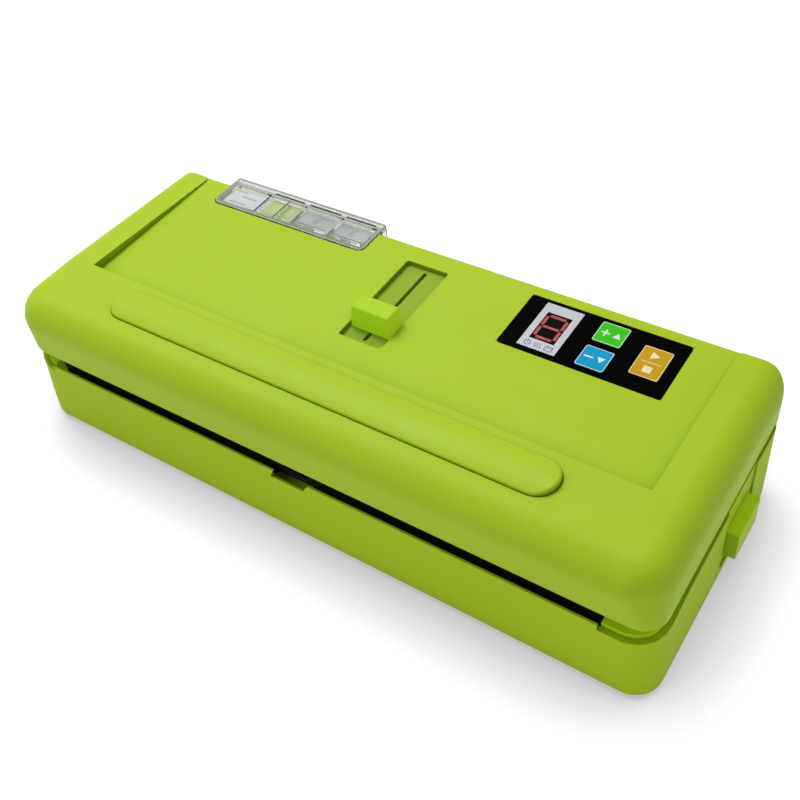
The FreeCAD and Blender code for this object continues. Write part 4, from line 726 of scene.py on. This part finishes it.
# painted shade: a dark upright and a dark level line at each end
tank_piece("tank_end_edges", "clear_dark", [
    (x, x + 0.3, *sides)
    for x in (LEFT + 0.05, RIGHT - 0.35)
    for sides in ((BACK - 0.9, BACK - 0.6, 60.8, TOP - 0.6),
                  (BACK - 7.0, BACK - 1.2, TOP - 2.2, TOP - 1.9))
], radius=0.05)
# painted highlight lines along the rim, beside the ribs and across the fields
tank_piece("tank_painted_highlights", "clear_highlight", [
    *((x + side - 0.12, x + side + 0.12, FRONT + 1.9, BACK - 5.1, TOP - 0.1, TOP + 0.34)
      for x in RIBS for side in (-0.85, 0.75)),
    (-100.9, -100.65, FRONT + 2.2, BACK - 5.6, TOP - 0.2, TOP + 0.14),
    (-112.8, -93.4, FRONT + 5.6, FRONT + 5.85, TOP - 0.5, TOP + 0.10),
    *((x0 + trim_left, x1 - trim_right, y0, y0 + 0.25, TOP - 0.5, TOP + 0.10)
      for x0, x1 in PANES
      for trim_left, trim_right, y0 in ((0, 0, BACK - 7.6), (0.8, 0.5, FRONT + 4.2))),
], radius=0.05, rings=[
    (0.45, 0.45, 3.0, 0.8, 0.16, TOP + 0.3, TOP + 0.5),
    (1.75, 5.0, 1.9, 0.5, 0.18, TOP - 0.2, TOP + 0.3),
])
# short lines below the cover: two pairs along Y, then four along X (x0, x1, y)
tank_piece("tank_moulded_marks", "clear_rib", [
    *((x + side - 0.2, x + side + 0.2, 60.0, 65.5, TOP - 2.35, TOP - 1.85)
      for x in (-78.5, -53.5) for side in (-0.9, 0.9)),
    *((x0, x1, y - 0.25, y + 0.25, TOP - 1.5, TOP - 1.2)
      for x0, x1, y in ((-138.5, -131.0, 66.2), (-136.0, -124.5, 56.4),
                        (-131.0, -121.0, 62.5), (-123.0, -117.5, 54.2))),
], radius=0.1)
# painted shade: dark blocks in front of the rail
tank_piece("tank_corner_blocks", "clear_dark", [
    (x - 1.7, x + 1.7, BACK - 5.9, BACK - 5.3, TOP - 0.4, TOP + 0.12)
    for x in (*RIBS, RIGHT - 4.2, LEFT + 27.0)
], radius=0.2)

# ------------------------------------------------------------------ foam and silicone strips
STRIP_RADIUS = 0.0008
STRIP_STEP = 0.0025
NOTCH_HALF = 0.0086  # half width of the nozzle notch in the lower strip
NOTCH_FLOOR = 0.009  # height left under the notch


def soft_bar(name, node, mat, body, seed, notched=False):
    """A long soft strip with slightly uneven edges, in place of a CAD piece."""
    lo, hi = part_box(node)
    phase = random.Random(seed).random() * 6
    count = max(8, int((hi.x - lo.x) / STRIP_STEP))
    section = rounded(lo.y, hi.y, lo.z, hi.z, STRIP_RADIUS, steps=3)
    middle_y, middle_z = (lo.y + hi.y) / 2, (lo.z + hi.z) / 2
    mesh = bmesh.new()
    loops = []
    for i in range(count + 1):
        x = lo.x + (hi.x - lo.x) * i / count
        wobble = 0.00008 * math.sin(x * 190 + phase) + 0.00006 * math.sin(x * 77)
        loop = []
        for y, z in section:
            if notched and -NOTCH_HALF < x < NOTCH_HALF:
                z = min(z, lo.z + NOTCH_FLOOR)
            sway = wobble * (1 if z > middle_z else 0.3)
            y = middle_y + (y - middle_y) * (1 - 0.004) + sway
            loop.append(mesh.verts.new((x, y, z)))
        loops.append(loop)
    skin(mesh, loops)
    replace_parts(add_mesh(name, mesh, mat, body, smooth=True), node)


soft_bar("foam_strip_lower", "lower_gasket", MATS["foam"], "base", seed=3, notched=True)
soft_bar("foam_strip_upper", "upper_gasket", MATS["foam"], "lid", seed=5)
soft_bar("silicone_press_strip", "pressure_strip", MATS["silicone"], "lid", seed=8)

# ------------------------------------------------------------------ release springs
SEAT_X = 0.168  # distance from the middle to the fixed end of the spring
SPRING_Y, SPRING_Z = 0.01625, 0.019
SPRING_RADIUS = 0.0030
SPRING_RISE = 0.011  # along X, from wire centre to wire centre
WIRE_RADIUS = 0.0004
TURNS = 6.2
END_TURNS = 1.1  # closed turns at each end
END_PITCH = 0.00082


def coil(name, side):
    """A spring along X with closed end coils, on the side given by the sign."""
    mesh = bmesh.new()
    open_turns = TURNS - 2 * END_TURNS
    open_pitch = (SPRING_RISE - END_PITCH * 2 * END_TURNS) / open_turns
    steps = int(TURNS * 36)
    loops = []
    for i in range(steps + 1):
        turn = TURNS * i / steps
        closed = min(turn, END_TURNS) + max(0.0, turn - (TURNS - END_TURNS))
        x = SEAT_X + WIRE_RADIUS + END_PITCH * closed + open_pitch * (turn - closed)
        angle = 2 * math.pi * turn * side
        outward = Vector((0, math.cos(angle), math.sin(angle)))
        centre = Vector((side * x, SPRING_Y, SPRING_Z)) + outward * SPRING_RADIUS
        loop = []
        for k in range(10):
            around = 2 * math.pi * k / 10
            along = Vector((WIRE_RADIUS * math.sin(around), 0, 0))
            point = centre + outward * (WIRE_RADIUS * math.cos(around)) + along
            loop.append(mesh.verts.new(point))
        loops.append(loop)
    skin(mesh, loops)
    return add_mesh(name, mesh, MATS["steel"], "base", smooth=True)


# each spring gets a coil mesh of its own in place of the CAD spring
for side, word in ((1, "right"), (-1, "left")):
    if "button_spring_" + word in NODES:
        spring = coil("spring_coil_" + word, side)
        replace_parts(spring, "button_spring_" + word)
        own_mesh(spring)

# the nozzle hose is copied into a mesh of its own in the tube material, in place of the CAD hose
if "nozzle_hose" in NODES:
    tube = bpy.data.objects.new("hose_to_nozzle", NODES["nozzle_hose"].data.copy())
    SCENE.collection.objects.link(tube)
    tube.data.materials.clear()
    tube.data.materials.append(MATS["hose"])
    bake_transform(tube)
    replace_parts(tube, "nozzle_hose")


# ------------------------------------------------------------------ floor, world, lights, camera
def floor_material():
    """Pale floor: it glows to the camera; a painted contact shadow makes it glow less close to the
    product.
    """
    m = Nodes("pale_floor")
    colour = m.ramp(m.noise(scale=1.5), (0.3, (0.20, 0.195, 0.205)), (0.7, (0.205, 0.20, 0.21)))
    # painted shadow: the occlusion node dims the floor's glow near the product
    near = m.occlusion(samples=12, distance=0.055)
    path = m.new("ShaderNodeLightPath")
    seen = m.remap(path.outputs["Is Camera Ray"], out=(0.80, 1.0))
    painted_light = m.maths("MULTIPLY", seen, m.remap(near, out=(0.46, 1.0), span=(0.45, 0.93)))
    m.set(Base_Color=colour, Emission_Strength=painted_light, Roughness=0.9, Specular_IOR_Level=0.05,
          Emission_Color=(0.985, 0.965, 1.0, 1.0))
    return m.mat


def studio_world():
    """Even white to the camera; as light, dimmer towards the front right."""
    world = bpy.data.worlds.new("studio")
    SCENE.world = world
    world.use_nodes = True
    nodes, link = world.node_tree.nodes, world.node_tree.links.new
    background = nodes["Background"]
    background.inputs[0].default_value = (0.97, 0.98, 1.0, 1)
    coord = nodes.new("ShaderNodeTexCoord")
    facing = nodes.new("ShaderNodeVectorMath")
    facing.operation = "DOT_PRODUCT"
    facing.inputs[1].default_value = (0.74, -0.62, 0.25)
    strength = nodes.new("ShaderNodeMapRange")
    # from -0.6..1.0 to strength 0.50..0.30
    for i, value in enumerate((-0.6, 1.0, 0.50, 0.30), 1):
        strength.inputs[i].default_value = value
    link(coord.outputs["Generated"], facing.inputs[0])
    link(facing.outputs["Value"], strength.inputs[0])
    path = nodes.new("ShaderNodeLightPath")
    choice = nodes.new("ShaderNodeMix")
    choice.data_type = "FLOAT"
    choice.inputs[3].default_value = 1.05  # strength seen by the camera
    link(path.outputs["Is Camera Ray"], choice.inputs[0])
    link(strength.outputs[0], choice.inputs[2])
    link(choice.outputs[0], background.inputs[1])


def area(name, place, target, size, power):
    light = bpy.data.lights.new(name, "AREA")
    light.energy = power
    light.shape = "RECTANGLE"
    light.size = light.size_y = size
    obj = bpy.data.objects.new(name, light)
    SCENE.collection.objects.link(obj)
    obj.location = place
    obj.rotation_mode = "QUATERNION"
    obj.rotation_quaternion = (Vector(target) - Vector(place)).to_track_quat("-Z", "Y")


def add_camera(place, azimuth, elevation, roll, lens):
    """Camera at place; azimuth turns it from the front towards the right, in degrees."""
    camera = bpy.data.objects.new("camera", bpy.data.cameras.new("camera"))
    SCENE.collection.objects.link(camera)
    az, el, roll = [math.radians(angle) for angle in (azimuth, elevation, roll)]
    back = Vector((math.sin(az) * math.cos(el), -math.cos(az) * math.cos(el), math.sin(el)))
    right = Vector((0, 0, 1)).cross(back).normalized()
    up = back.cross(right)
    cos, sin = math.cos(roll), math.sin(roll)
    turned = (cos * right + sin * up, -sin * right + cos * up, back)
    pose = Matrix(turned).transposed().to_4x4()
    pose.translation = place
    camera.matrix_world = pose
    camera.data.sensor_width = 36.0
    camera.data.lens = lens
    camera.data.clip_start = 0.01
    camera.data.clip_end = 50.0
    SCENE.camera = camera


grid = bmesh.new()
bmesh.ops.create_grid(grid, x_segments=2, y_segments=2, size=6.0)
add_mesh("floor", grid, floor_material())
studio_world()
area("key", place=(-0.62, 0.42, 1.45), target=(0, 0, 0.05), size=0.9, power=16.5)
area("front_fill", place=(-0.7, -1.5, 0.9), target=(0, 0, 0.04), size=1.2, power=2.2)
add_camera(place=(0.2495, -0.2832, 0.4188), azimuth=39.74, elevation=46.06, roll=-8.61,
           lens=47.0115)
